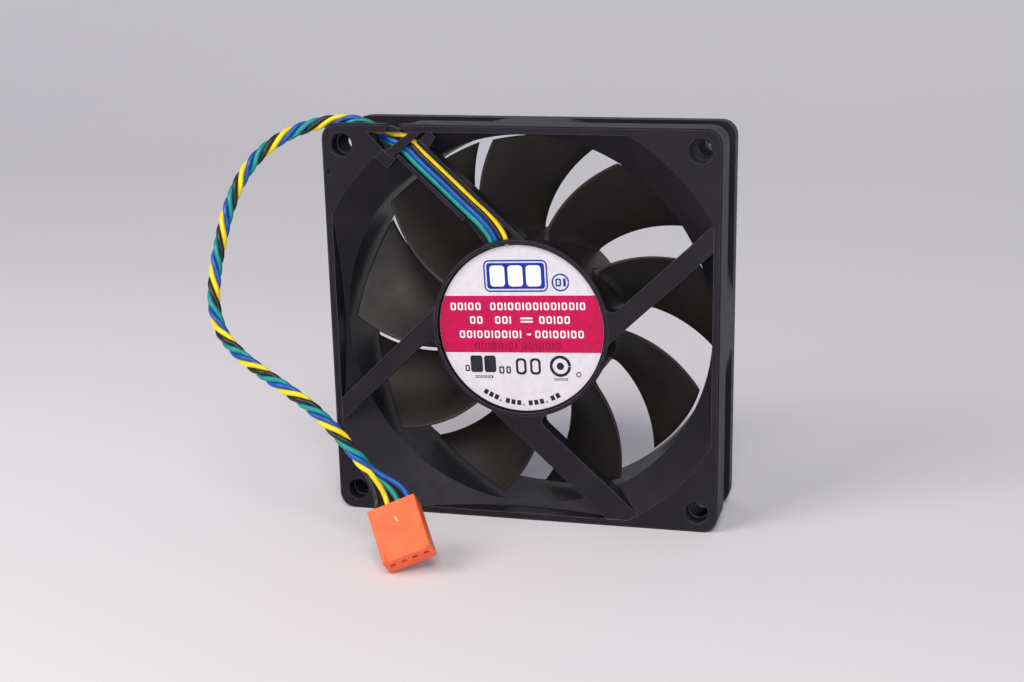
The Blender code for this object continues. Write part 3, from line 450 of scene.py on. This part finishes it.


# The lighter edge colours of the frame and the blades are partly wear and partly a painted highlight
# along the edges.
FRAME_PLASTIC = moulded(
    "frame_grey",
    dark=(0.009, 0.0082, 0.0125),
    light=(0.0135, 0.0122, 0.018),
    edge_wear_and_highlight_colour=(0.2, 0.18, 0.21),
    roughness=0.5,
    grain=0.22,
    radius=0.2,
    specular=0.18,
)
BLADE_PLASTIC = moulded(
    "blade_black",
    dark=(0.013, 0.0102, 0.01),
    light=(0.021, 0.0168, 0.016),
    edge_wear_and_highlight_colour=(0.07, 0.06, 0.058),
    roughness=0.5,
    grain=0.3,
    radius=0.12,
    specular=0.4,
)
YELLOW = insulation("insulation_yellow", (0.82, 0.6, 0.0), (0.93, 0.74, 0.008))
BLACK = insulation("insulation_black", (0.006, 0.006, 0.008), (0.011, 0.011, 0.014))
GREEN = insulation("insulation_green", (0.0, 0.2, 0.2), (0.002, 0.29, 0.27))
BLUE = insulation("insulation_blue", (0.0, 0.052, 0.32), (0.0, 0.095, 0.46))
ORANGE = nylon("plug_orange", (0.88, 0.115, 0.028), (0.95, 0.155, 0.042), 0.42)
PALE_MARK = nylon("gate_mark", (0.95, 0.6, 0.38), (1.0, 0.72, 0.48), 0.5)
NATURAL = nylon("natural_nylon", (0.68, 0.66, 0.6), (0.78, 0.76, 0.7), 0.45)
STEEL = metal("bare_steel", (0.42, 0.42, 0.43), (0.58, 0.58, 0.58), 0.32)
LAMINATION = metal("lamination_steel", (0.2, 0.2, 0.21), (0.36, 0.36, 0.36), 0.45, (0.1, 8.0, 0.1))
BRASS = metal("turned_brass", (0.55, 0.36, 0.12), (0.72, 0.5, 0.2), 0.28)
TIN = metal("tin_plate", (0.6, 0.6, 0.57), (0.76, 0.75, 0.72), 0.3)
COPPER = metal("enamelled_copper", (0.42, 0.14, 0.05), (0.6, 0.24, 0.09), 0.32, (0.3, 6.0, 0.3))
MAGNET = nylon("ferrite", (0.025, 0.025, 0.027), (0.045, 0.045, 0.05), 0.6)
RUBBER = nylon("cap_rubber", (0.015, 0.015, 0.015), (0.028, 0.028, 0.028), 0.75)
CHIP = nylon("chip_case", (0.012, 0.012, 0.013), (0.02, 0.02, 0.022), 0.5)
CAPACITOR = nylon("capacitor_case", (0.28, 0.16, 0.08), (0.36, 0.22, 0.12), 0.5)
SOLDER_MASK = board("solder_mask", (0.02, 0.1, 0.03), (0.03, 0.16, 0.06))
PAPER = printed("label_white", (0.61, 0.595, 0.645), (0.66, 0.645, 0.69), 0.4)
CRIMSON = printed("label_crimson", (0.44, 0.0, 0.062), (0.51, 0.001, 0.076), 0.4)
DARK_CRIMSON = printed("label_dark_crimson", (0.23, 0.0, 0.03), (0.33, 0.0, 0.045), 0.35)
LABEL_BLUE = printed("label_blue", (0.002, 0.022, 0.25), (0.004, 0.032, 0.32), 0.35)
LABEL_BLACK = printed("label_black", (0.008, 0.008, 0.015), (0.02, 0.02, 0.03), 0.4)
LABEL_WHITE = printed("label_text_white", (0.82, 0.76, 0.8), (0.9, 0.85, 0.88), 0.4)
FLOOR = floor_paper("backdrop_pale", (0.76, 0.76, 0.785), (0.78, 0.78, 0.8))


# Shared shapes


def add_piece(name, mesh, surface, body, smooth=35.0):
    """Puts a mesh in the scene, riding on a body and smooth over edges up to an angle."""
    made = bpy.data.objects.new(name, mesh)
    bpy.context.collection.objects.link(made)
    mesh.materials.append(surface)
    if smooth is not None:
        mesh.shade_smooth()
        mesh.set_sharp_from_angle(angle=math.radians(smooth))
    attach(made, body)
    return made


def mesh_from(name, bm):
    """The finished mesh of a bmesh, with its faces turned outwards."""
    bmesh.ops.recalc_face_normals(bm, faces=bm.faces[:])
    mesh = bpy.data.meshes.new(name)
    bm.to_mesh(mesh)
    bm.free()
    return mesh


def join_rows(bm, first, second):
    """Faces between two rows with the same number of points."""
    for corners in zip(first, first[1:], second[1:], second):
        bm.faces.new(corners)


def arc(centre, radius, start, end, steps):
    """Points of an arc about a centre, both ends with it."""
    points = []
    for i in range(steps + 1):
        x, y = polar(radius, start + (end - start) * i / steps)
        points.append((centre[0] + x, centre[1] + y))
    return points


def repaint(node, surface):
    """Gives a CAD node a better material."""
    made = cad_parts[node]
    made.data.materials.clear()
    made.data.materials.append(surface)


# Lead


def plug_axes():
    """Unit vectors across the contacts, towards the mating end and through the thickness."""
    forward = Vector(PLUG_FORWARD).normalized()
    across = Vector(PLUG_ACROSS)
    across = (across - forward * across.dot(forward)).normalized()
    return across, forward, across.cross(forward)


def plug_centre():
    """The plug's middle, at the height at which its lowest corner just clears the ground."""
    reach = sum(abs(axis.z) * size / 2 for axis, size in zip(plug_axes(), PLUG_SIZE))
    ground = (FRAME_LOW[2] - AXIS_HEIGHT) / MM
    return Vector((*PLUG_CENTRE, ground + reach + GROUND_GAP))


def lead_route():
    """The points that the middle of the lead passes, down to inside the plug."""
    _, forward, _ = plug_axes()
    centre = plug_centre()
    entry = centre - forward * (PLUG_SIZE[1] / 2)
    ends = [entry - forward * PLUG_STRAIGHT, entry, entry + forward * WIRE_INSIDE_PLUG]
    return np.array([*LEAD_ROUTE, *(tuple(point) for point in ends)])


def smooth_curve(points):
    """A centripetal Catmull-Rom curve through the points."""
    first = 2 * points[0] - points[1]
    last = 2 * points[-1] - points[-2]
    path = np.vstack([first, points, last])
    out = []
    for p0, p1, p2, p3 in zip(path, path[1:], path[2:], path[3:]):
        t1 = np.linalg.norm(p1 - p0) ** 0.5
        t2 = t1 + np.linalg.norm(p2 - p1) ** 0.5
        t3 = t2 + np.linalg.norm(p3 - p2) ** 0.5
        for t in np.linspace(t1, t2, ROUTE_STEPS, endpoint=False):
            a1 = p0 + (p1 - p0) * t / t1
            a2 = p1 + (p2 - p1) * (t - t1) / (t2 - t1)
            a3 = p2 + (p3 - p2) * (t - t2) / (t3 - t2)
            b1 = a1 + (a2 - a1) * t / t2
            b2 = a2 + (a3 - a2) * (t - t1) / (t3 - t1)
            out.append(b1 + (b2 - b1) * (t - t1) / (t2 - t1))
    out.append(points[-1])
    return np.array(out)


def ease(value):
    """Goes smoothly from 0 to 1 as the value goes from 0 to 1."""
    value = min(max(value, 0.0), 1.0)
    return value * value * (3.0 - 2.0 * value)


def lead_samples():
    """Evenly spaced places, side directions and distances along the middle of the lead."""
    dense = smooth_curve(lead_route())
    steps = np.linalg.norm(np.diff(dense, axis=0), axis=1)
    run = np.concatenate([[0.0], np.cumsum(steps)])
    distances = np.linspace(0.0, run[-1], WIRE_POINTS)

    def at(where):
        """The places at those distances along the lead."""
        return np.stack([np.interp(where, run, dense[:, k]) for k in range(3)], axis=1)

    tangent = at(distances + 0.5) - at(distances - 0.5)
    tangent /= np.linalg.norm(tangent, axis=1)[:, None]
    back = np.array([0.0, 1.0, 0.0]) - tangent[:, 1:2] * tangent
    back /= np.linalg.norm(back, axis=1)[:, None]
    return distances, at(distances), np.cross(back, tangent), back


def ease_bends(line, start):
    """Softens the bends of a wire after a place on it, with both ends kept."""
    for _ in range(EASING_PASSES):
        line[start + 1 : -1] = (line[start:-2] + 2.0 * line[start + 1 : -1] + line[start + 2 :]) / 4.0
    return line


def wire_line(order, phase, contact):
    """One wire: flat in the channel, twisted with the others, then fanned out to its contact."""
    distances, middle, side, back = lead_samples()
    twist_end = distances[-1] - FAN_START
    across = np.array(plug_axes()[0])
    plug_turn = math.atan2(across @ back[-1], across @ side[-1])
    twist = plug_turn + math.pi / 2
    twist -= 2 * math.pi * round(twist / (2 * math.pi) + TWIST_TURNS)
    flat = np.array([WIRE_PITCH * order, 0.0])
    row = contact * np.array([math.cos(plug_turn), math.sin(plug_turn)])
    line = []
    for distance, centre, along, up in zip(distances, middle, side, back):
        share = min(max((distance - GATHER_END) / (twist_end - GATHER_END), 0.0), 1.0)
        turn = phase + twist * share
        twisted = BUNDLE_RADIUS * np.array([math.cos(turn), math.sin(turn)])
        gathered = ease((distance - GATHER_START) / (GATHER_END - GATHER_START))
        offset = flat + (twisted - flat) * gathered
        offset = offset * (1.0 + GATHER_SPREAD * math.sin(math.pi * gathered))
        fanned = ease((distance - twist_end) / (FAN_START - FAN_END))
        offset = offset + (row - offset) * fanned
        line.append(centre + offset[0] * along + offset[1] * up)
    line = ease_bends(np.array(line), int(np.searchsorted(distances, twist_end)))
    return [place(*point) for point in line]


def wire_tube(name, line):
    """A round tube along a line."""
    curve = bpy.data.curves.new(name, "CURVE")
    curve.dimensions = "3D"
    curve.bevel_depth = WIRE_RADIUS * MM
    curve.bevel_resolution = 4
    curve.use_fill_caps = True
    spline = curve.splines.new("POLY")
    spline.points.add(len(line) - 1)
    for point, where in zip(spline.points, line):
        point.co = (*where, 1.0)
    spline.use_smooth = True
    made = bpy.data.objects.new(name, curve)
    bpy.context.collection.objects.link(made)
    return made


def wire(colour, surface, order, phase, contact):
    """One insulated wire of the lead."""
    line = wire_line(order, phase, contact)
    made = wire_tube(f"lead_{colour}", line)
    made.data.materials.append(surface)
    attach(made, "housing")
    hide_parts(f"wire_{colour}")


def lead(plug_pieces):
    """Four wires; order is the place in the channel, and phase the turn at the start of the twist."""
    wires = (
        ("black", BLACK, 0.5, math.pi / 2),
        ("yellow", YELLOW, 1.5, 0.0),
        ("green", GREEN, -1.5, math.pi),
        ("blue", BLUE, -0.5, 3 * math.pi / 2),
    )
    for number, (colour, surface, order, phase) in enumerate(wires):
        contact = CONTACT_PITCH * (number - (len(wires) - 1) / 2)
        wire(colour, surface, order, phase, contact)


# Impeller


def blade_middle(number, part, chord):
    """Points of a blade's middle surface; part runs from root to tip, chord from edge to edge."""
    radius = between(BLADE_RADIUS, part)
    near = between(BLADE_NEAR_DEPTH, part)
    far = between(BLADE_FAR_DEPTH, part)
    angle = BLADE_FIRST_TIP - 2 * math.pi * number / BLADES
    angle = angle + BLADE_SWEEP * (1.0 - part**BLADE_SWEEP_POWER) - BLADE_SPAN * chord
    depth = near + (far - near) * (chord + BLADE_CAMBER * np.sin(np.pi * np.clip(chord, 0.0, 1.0)))
    return np.stack([radius * np.cos(angle), depth, radius * np.sin(angle)], axis=-1)


def blade_normals(number, part, chord):
    """Directions through a blade's thickness, square to its radius."""
    along = blade_middle(number, part, chord + PROBE) - blade_middle(number, part, chord - PROBE)
    outward = blade_middle(number, part + PROBE, chord)
    outward -= blade_middle(number, np.maximum(part - PROBE, 0.0), chord)
    normal = np.cross(along, outward)
    radial = blade_middle(number, part, chord) * np.array([1.0, 0.0, 1.0])
    radial /= np.linalg.norm(radial, axis=-1, keepdims=True)
    normal -= radial * np.sum(normal * radial, axis=-1, keepdims=True)
    return normal / np.linalg.norm(normal, axis=-1, keepdims=True)


def rounded_end(distance):
    """How much of the full thickness is left at a distance from a rounded edge."""
    inside = np.clip(distance / EDGE_ROUND, 0.0, 1.0)
    return np.sqrt(np.clip(1.0 - (1.0 - inside) ** 2, 0.0, 1.0))


def blade_half_thickness(part, chord):
    """Half a blade's thickness: thinner towards its edges, thicker where it grows out of the hub."""
    radius = between(BLADE_RADIUS, part)
    width = radius * BLADE_SPAN * BLADE_SLANT
    fullness = np.sqrt(np.sin(np.pi * chord).clip(0.0))
    half = between(BLADE_THICKNESS, part) / 2 * between((BLADE_EDGE_SHARE, 1.0), fullness)
    half += ROOT_FILLET * np.exp(-np.maximum(radius - HUB_RADIUS, 0.0) / FILLET_REACH)
    half *= rounded_end(np.minimum(chord, 1.0 - chord) * width)
    half *= rounded_end(BLADE_RADIUS[1] - radius)
    return half


def blade_steps():
    """Shares of a blade's length and of its chord, close together where its edges are rounded."""
    turns = np.linspace(0.0, math.pi / 2, EDGE_STEPS)
    tip = EDGE_ROUND / (BLADE_RADIUS[1] - BLADE_RADIUS[0])
    even = np.linspace(0.0, 1.0 - tip, BLADE_STEPS)
    parts = np.concatenate([even, 1.0 - tip + tip * np.sin(turns[1:])])
    edge = EDGE_ROUND / BLADE_WIDTH
    near = edge * (1.0 - np.cos(turns))
    even = np.linspace(edge, 1.0 - edge, BLADE_STEPS)
    chords = np.concatenate([near[:-1], even, 1.0 - near[-2::-1]])
    return parts, chords


def add_blade(bm, number):
    """One blade: two skins that meet in rounded edges and are joined inside the hub's wall."""
    part, chord = np.meshgrid(*blade_steps(), indexing="ij")
    middle = blade_middle(number, part, chord)
    rise = blade_normals(number, part, chord) * blade_half_thickness(part, chord)[..., None]
    skins = []
    for points in (middle + rise, middle - rise):
        skins.append([[bm.verts.new(place(*point)) for point in row] for row in points])
    for skin in skins:
        for first, second in zip(skin, skin[1:]):
            join_rows(bm, first, second)
    join_rows(bm, skins[0][0], skins[1][0])


def add_turned(bm, profile):
    """Turns a (radius, depth) profile that starts and ends on the fan's axis."""
    rings = []
    for radius, depth in profile:
        segments = HUB_SEGMENTS if radius > 0.0 else 1
        places = [polar(radius, 360.0 * i / segments) for i in range(segments)]
        rings.append([bm.verts.new(place(x, depth, height)) for x, height in places])
    first, *middle, last = rings
    rows = [ring + ring[:1] for ring in middle]
    for a, b in zip(rows, rows[1:]):
        join_rows(bm, a, b)
    for pole, row in ((first[0], rows[0]), (last[0], rows[-1])):
        for a, b in zip(row, row[1:]):
            bm.faces.new((pole, a, b))


def hub_profile():
    """The cup: closed at the back with a round edge and a shallow dish, open at the label side."""
    inner = HUB_RADIUS - HUB_WALL
    dish = HUB_RADIUS - DISH_RIM
    floor = HUB_BACK - DISH_DEPTH
    profile = [(0.0, floor)]
    profile += arc((dish - DISH_SLOPE[0], floor + DISH_FOOT), DISH_FOOT, -90.0, -20.0, 3)
    profile += arc((dish + DISH_SLOPE[1], HUB_BACK - DISH_BROW), DISH_BROW, 160.0, 90.0, 3)
    profile += arc((HUB_RADIUS - HUB_EDGE, HUB_BACK - HUB_EDGE), HUB_EDGE, 90.0, 0.0, 10)
    profile += arc((HUB_RADIUS - HUB_LIP, HUB_FRONT + HUB_LIP), HUB_LIP, 0.0, -90.0, 4)
    profile += arc((inner + HUB_LIP, HUB_FRONT + HUB_LIP), HUB_LIP, -90.0, -180.0, 4)
    profile += [(inner, HUB_BACK - HUB_END_WALL), (0.0, HUB_BACK - HUB_END_WALL)]
    return profile


def impeller():
    """The hub and its blades, one moulding."""
    bm = bmesh.new()
    add_turned(bm, hub_profile())
    for number in range(BLADES):
        add_blade(bm, number)
    bmesh.ops.remove_doubles(bm, verts=bm.verts[:], dist=BLADE_WELD * MM)
    mesh = mesh_from("impeller_moulding", bm)
    made = add_piece("impeller_moulding", mesh, BLADE_PLASTIC, "rotor", smooth=40.0)
    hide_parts("impeller")


# Plug


def plug():
    """The plug's housing with all its edges rounded, and the mark on it."""
    bm = bmesh.new()
    bm.from_mesh(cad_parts["connector_housing"].data)
    bmesh.ops.remove_doubles(bm, verts=bm.verts[:], dist=PLUG_WELD * MM)
    flat = math.radians(PLUG_FLAT_ANGLE)
    bmesh.ops.dissolve_limit(bm, angle_limit=flat, verts=bm.verts[:], edges=bm.edges[:])
    mesh = mesh_from("plug_housing", bm)
    made = add_piece("plug_housing", mesh, ORANGE, "housing", smooth=None)
    round_edges(made)
    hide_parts("connector_housing")
    return [made, gate_mark()]


def round_edges(piece):
    """Rounds the plug's edges and applies the change."""
    step = piece.modifiers.new("round_edges", "BEVEL")
    step.width = PLUG_ROUNDING * MM
    step.segments = 3
    step.limit_method = "ANGLE"
    step.angle_limit = math.radians(PLUG_EDGE_ANGLE)
    bpy.context.view_layer.update()
    seen = piece.evaluated_get(bpy.context.evaluated_depsgraph_get())
    mesh = bpy.data.meshes.new_from_object(seen)
    piece.modifiers.clear()
    piece.data = mesh
    mesh.shade_flat()


def plug_matrix():
    """Turns the plug's own axes and places, in metres, into the frame's."""
    return Matrix.Translation(place(*plug_centre())) @ Matrix(plug_axes()).transposed().to_4x4()


def gate_mark():
    """A small pale pip, longer than wide, standing a little out of the plug's upper face."""
    bm = bmesh.new()
    bmesh.ops.create_uvsphere(bm, u_segments=20, v_segments=12, radius=1.0)
    for vert in bm.verts:
        ripple = 1.0 + GATE_RIPPLE * math.sin(GATE_RIPPLES * vert.co.y)
        for axis, size in enumerate(GATE_HALF_SIZE):
            vert.co[axis] *= size * MM
        vert.co.x *= ripple
    where = Vector((*GATE_PLACE, -PLUG_SIZE[2] / 2)) * MM
    lean = Matrix.Rotation(math.radians(GATE_LEAN), 4, "Z")
    move = plug_matrix() @ Matrix.Translation(where) @ lean
    bmesh.ops.transform(bm, matrix=move, verts=bm.verts[:])
    mesh = mesh_from("plug_gate_mark", bm)
    return add_piece("plug_gate_mark", mesh, PALE_MARK, "housing")


# Label


def label_scale():
    """The label's radius and the depth of its face, in millimetres."""
    low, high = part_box("label")
    return (high[0] - low[0]) / 2 / MM, (low[1] - FRONT) / MM


def add_print(bm, outline, layer=1):
    """A printed patch: a thin flat prism on the label, from an outline in parts of its radius."""
    radius, face = label_scale()
    turn = Matrix.Rotation(math.radians(LABEL_TURN), 2)
    flat = [turn @ Vector(point) * radius for point in outline]
    rows = []
    for depth in (face - INK * layer, face - INK * (layer - 1) + INK / 3):
        rows.append([bm.verts.new(place(point.x, depth, point.y)) for point in flat])
    top, under = rows
    join_rows(bm, top + top[:1], under + under[:1])
    bm.faces.new(top)
    bm.faces.new(under)


def box_outline(left, right, low, high, corner=0.0, steps=5):
    """The outline of a box, with its corners rounded where corner is their radius."""
    if corner == 0.0:
        return [(left, low), (right, low), (right, high), (left, high)]
    outline = []
    centres = ((right, high, -1, -1), (left, high, 1, -1), (left, low, 1, 1), (right, low, -1, 1))
    for quarter, (x, y, side_x, side_y) in enumerate(centres):
        centre = (x + side_x * corner, y + side_y * corner)
        outline += arc(centre, corner, 90.0 * quarter, 90.0 * quarter + 90.0, steps)
    return outline


def inset(box, width):
    """The box that is smaller by a width on all sides."""
    left, right, low, high = box
    return left + width, right - width, low + width, high - width


def add_border(bm, outside, inside, layer=1):
    """A printed border between two outlines with the same start."""
    add_print(bm, outside + [outside[0]] + [inside[0]] + inside[::-1], layer)


def add_open_box(bm, box, width, corners, layer=1, steps=5):
    """A border of a width along the inside of a box, with its outer and inner corner radius."""
    outside = box_outline(*box, corners[0], steps)
    inside = box_outline(*inset(box, width), corners[1], steps)
    add_border(bm, outside, inside, layer)


def add_ring(bm, centre, radius, width, steps=36):
    """A printed ring, open by a hair so that one outline goes all the way round it."""
    outer = arc(centre, radius, 0.0, RING_END, steps)
    inner = arc(centre, radius - width, RING_END, 0.0, steps)
    add_print(bm, outer + inner)


def add_dot(bm, centre, radius, corners=24):
    """A printed disc."""
    add_print(bm, arc(centre, radius, 0.0, 360.0 - 360.0 / corners, corners - 1))


def add_word(bm, left, right, middle, height, layer=1):
    """A line of print as plain marks: small open boxes, with a bar after every second one."""
    stroke = height * MARK_STROKE
    low = middle - height / 2
    high = middle + height / 2
    start = left
    number = 0
    while start < right - stroke:
        width = stroke if number % 3 == 2 else height * MARK_WIDTH
        end = min(start + width, right)
        if end - start > MARK_OPEN_FROM * stroke:
            add_open_box(bm, (start, end, low, high), stroke, (stroke, stroke / 3), layer, steps=2)
        else:
            add_print(bm, box_outline(start, end, low, high), layer)
        start = end + height * MARK_GAP
        number += 1


def add_curved_line(bm):
    """Small blocks along an arc with a dot after every third, as at the label's lower edge."""
    start, end = CURVED_LINE_ENDS
    step = (end - start) / CURVED_LINE_MARKS
    for number in range(CURVED_LINE_MARKS):
        length, height = CURVED_DOT if number % 4 == 3 else CURVED_BLOCK
        first = start + step * number
        last = first + step * length
        outline = arc((0.0, 0.0), CURVED_LINE_RADIUS, first, last, 2)
        outline += arc((0.0, 0.0), CURVED_LINE_RADIUS - CURVED_LINE_HEIGHT * height, last, first, 2)
        add_print(bm, outline)


def print_piece(name, bm, surface):
    """Puts a layer of print in the scene."""
    add_piece(name, mesh_from(name, bm), surface, "housing", smooth=None)


def label_band():
    """The wide coloured band across the disc, ending at its edge."""
    low, high = (math.degrees(math.asin(edge / BAND_EDGE)) for edge in BAND)
    outline = arc((0.0, 0.0), BAND_EDGE, low, high, 24)
    outline += arc((0.0, 0.0), BAND_EDGE, 180.0 - high, 180.0 - low, 24)
    bm = bmesh.new()
    add_print(bm, outline)
    print_piece("label_band", bm, CRIMSON)


def label_badge():
    """A blue panel in a thin blue border, and a small ring with a mark in it."""
    bm = bmesh.new()
    add_open_box(bm, BADGE, BADGE_LINE, BADGE_CORNERS)
    add_print(bm, box_outline(*inset(BADGE, 2 * BADGE_LINE), BADGE_CORNERS[2]))
    add_ring(bm, BADGE_RING_CENTRE, BADGE_RING_RADIUS, BADGE_LINE)
    add_word(bm, *BADGE_RING_WORD)
    print_piece("label_badge", bm, LABEL_BLUE)


def label_badge_blocks():
    """The plain white blocks on the blue panel."""
    bm = bmesh.new()
    for block in BADGE_BLOCKS:
        add_print(bm, box_outline(*block, BADGE_BLOCK_CORNER, steps=3), layer=2)
    print_piece("label_badge_blocks", bm, LABEL_WHITE)


def label_white_print():
    """The white lines of print and the dashes on the band."""
    bm = bmesh.new()
    for word in BAND_WORDS:
        add_word(bm, *word, BAND_WORD_HEIGHT, layer=2)
    for dash in BAND_DASHES:
        add_print(bm, box_outline(*dash), layer=2)
    print_piece("label_print_white", bm, LABEL_WHITE)


def label_dark_print():
    """The darker line of print at the foot of the band."""
    bm = bmesh.new()
    for word in DARK_WORDS:
        add_word(bm, *word, DARK_WORD_HEIGHT, layer=2)
    print_piece("label_print_dark", bm, DARK_CRIMSON)


def label_black_print():
    """Plain marks under the band: two blocks, two open boxes, rings and small print."""
    bm = bmesh.new()
    for word in LOWER_WORDS:
        add_word(bm, *word)
    for block in LOWER_BLOCKS:
        add_print(bm, box_outline(*block, LOWER_BLOCK_CORNER, steps=3))
    for box in OPEN_BOXES:
        add_open_box(bm, box, OPEN_BOX_LINE, OPEN_BOX_CORNERS)
    add_ring(bm, TARGET_CENTRE, TARGET_RADIUS, TARGET_LINE)
    add_dot(bm, TARGET_CENTRE, TARGET_DOT)
    add_ring(bm, SPOT_CENTRE, SPOT_RADIUS, SPOT_LINE, steps=20)
    add_curved_line(bm)
    print_piece("label_print_black", bm, LABEL_BLACK)


def label():
    """All the print on the label's disc."""
    label_band()
    label_badge()
    label_badge_blocks()
    label_white_print()
    label_dark_print()
    label_black_print()


# Stage


def camera():
    """The camera stands to the right of the label side and looks down on it."""
    lens = bpy.data.cameras.new("camera")
    lens.sensor_width = CAMERA_SENSOR
    lens.lens = CAMERA_LENS
    lens.shift_x, lens.shift_y = CAMERA_SHIFT
    lens.clip_start = 0.01
    made = bpy.data.objects.new("camera", lens)
    turn = Matrix.Rotation(math.radians(CAMERA_TURN), 4, "Z")
    turn @= Matrix.Rotation(math.radians(90.0 - CAMERA_DOWN), 4, "X")
    turn @= Matrix.Rotation(math.radians(CAMERA_ROLL), 4, "Z")
    made.matrix_world = Matrix.Translation(place(*CAMERA_PLACE)) @ turn
    bpy.context.collection.objects.link(made)
    bpy.context.scene.camera = made


def area_light(name, where, power, size, colour):
    """A square lamp that points at the fan; its power is in watts and its size in metres."""
    data = bpy.data.lights.new(name, "AREA")
    data.energy = power
    data.size = size
    data.color = colour
    made = bpy.data.objects.new(name, data)
    made.location = place(*where)
    made.rotation_euler = (place(*LIGHT_TARGET) - made.location).to_track_quat("-Z", "Y").to_euler()
    bpy.context.collection.objects.link(made)


def sun(name, towards, strength, softness, colour):
    """Parallel light from a direction, softened over an angle, so that the floor is evenly bright."""
    data = bpy.data.lights.new(name, "SUN")
    data.energy = strength
    data.angle = math.radians(softness)
    data.color = colour
    made = bpy.data.objects.new(name, data)
    made.rotation_euler = Vector(towards).to_track_quat("Z", "Y").to_euler()
    bpy.context.collection.objects.link(made)


def sky():
    """Even light from all round."""
    world = bpy.data.worlds.new("studio")
    world.use_nodes = True
    background = world.node_tree.nodes["Background"]
    background.inputs["Color"].default_value = (*SKY_COLOUR, 1.0)
    background.inputs["Strength"].default_value = SKY_STRENGTH
    bpy.context.scene.world = world


def backdrop():
    """A pale floor that curves up into a wall far behind the fan."""
    profile = [(FLOOR_NEAR, 0.0)]
    profile += arc((COVE_START, COVE_RADIUS), COVE_RADIUS, -90.0, 0.0, COVE_STEPS)
    profile.append((COVE_START + COVE_RADIUS, WALL_TOP))
    bm = bmesh.new()
    rows = []
    for y, z in profile:
        rows.append([bm.verts.new((x, y, z)) for x in (-BACKDROP_HALF_WIDTH, BACKDROP_HALF_WIDTH)])
    for first, second in zip(rows, rows[1:]):
        join_rows(bm, first, second)
    mesh = mesh_from("backdrop", bm)
    mesh.shade_smooth()
    mesh.materials.append(FLOOR)
    made = bpy.data.objects.new("backdrop", mesh)
    made.location = (0.0, 0.0, FRAME_LOW[2])
    bpy.context.collection.objects.link(made)


def studio():
    """The backdrop and all the light."""
    backdrop()
    sky()
    bpy.context.scene.view_settings.view_transform = "Standard"
    sun("key", (0.35, -1.0, 1.1), strength=1.35, softness=25.0, colour=(1.0, 0.97, 0.94))
    area_light("side", (-300.0, -350.0, 330.0), power=1.7, size=0.3, colour=(1.0, 0.9, 0.85))
    area_light("front", (150.0, -420.0, 60.0), power=0.6, size=0.25, colour=(1.0, 0.95, 0.92))


# Whole


CAD_SURFACES = {
    "frame": FRAME_PLASTIC,
    "label": PAPER,
    "rotor_yoke": STEEL,
    "shaft": STEEL,
    "ring_magnet": MAGNET,
    "shaft_bushing": BRASS,
    "bearing_sleeve": BRASS,
    "retaining_ring": NATURAL,
    "oil_seal": NATURAL,
    "thrust_pad": NATURAL,
    "bearing_cap": RUBBER,
    "stator_core": LAMINATION,
    "insulator_front": NATURAL,
    "insulator_rear": NATURAL,
    "circuit_board": SOLDER_MASK,
    "driver_chip": CHIP,
    "hall_sensor": CHIP,
    "capacitor": CAPACITOR,
    "resistor": CHIP,
    **{f"coil_{number}": COPPER for number in range(1, 5)},
    **{f"terminal_{number}": TIN for number in range(1, 5)},
}


def main():
    """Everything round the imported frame."""
    camera()
    studio()
    for node, surface in CAD_SURFACES.items():
        repaint(node, surface)
    lead(plug())
    impeller()
    label()


main()
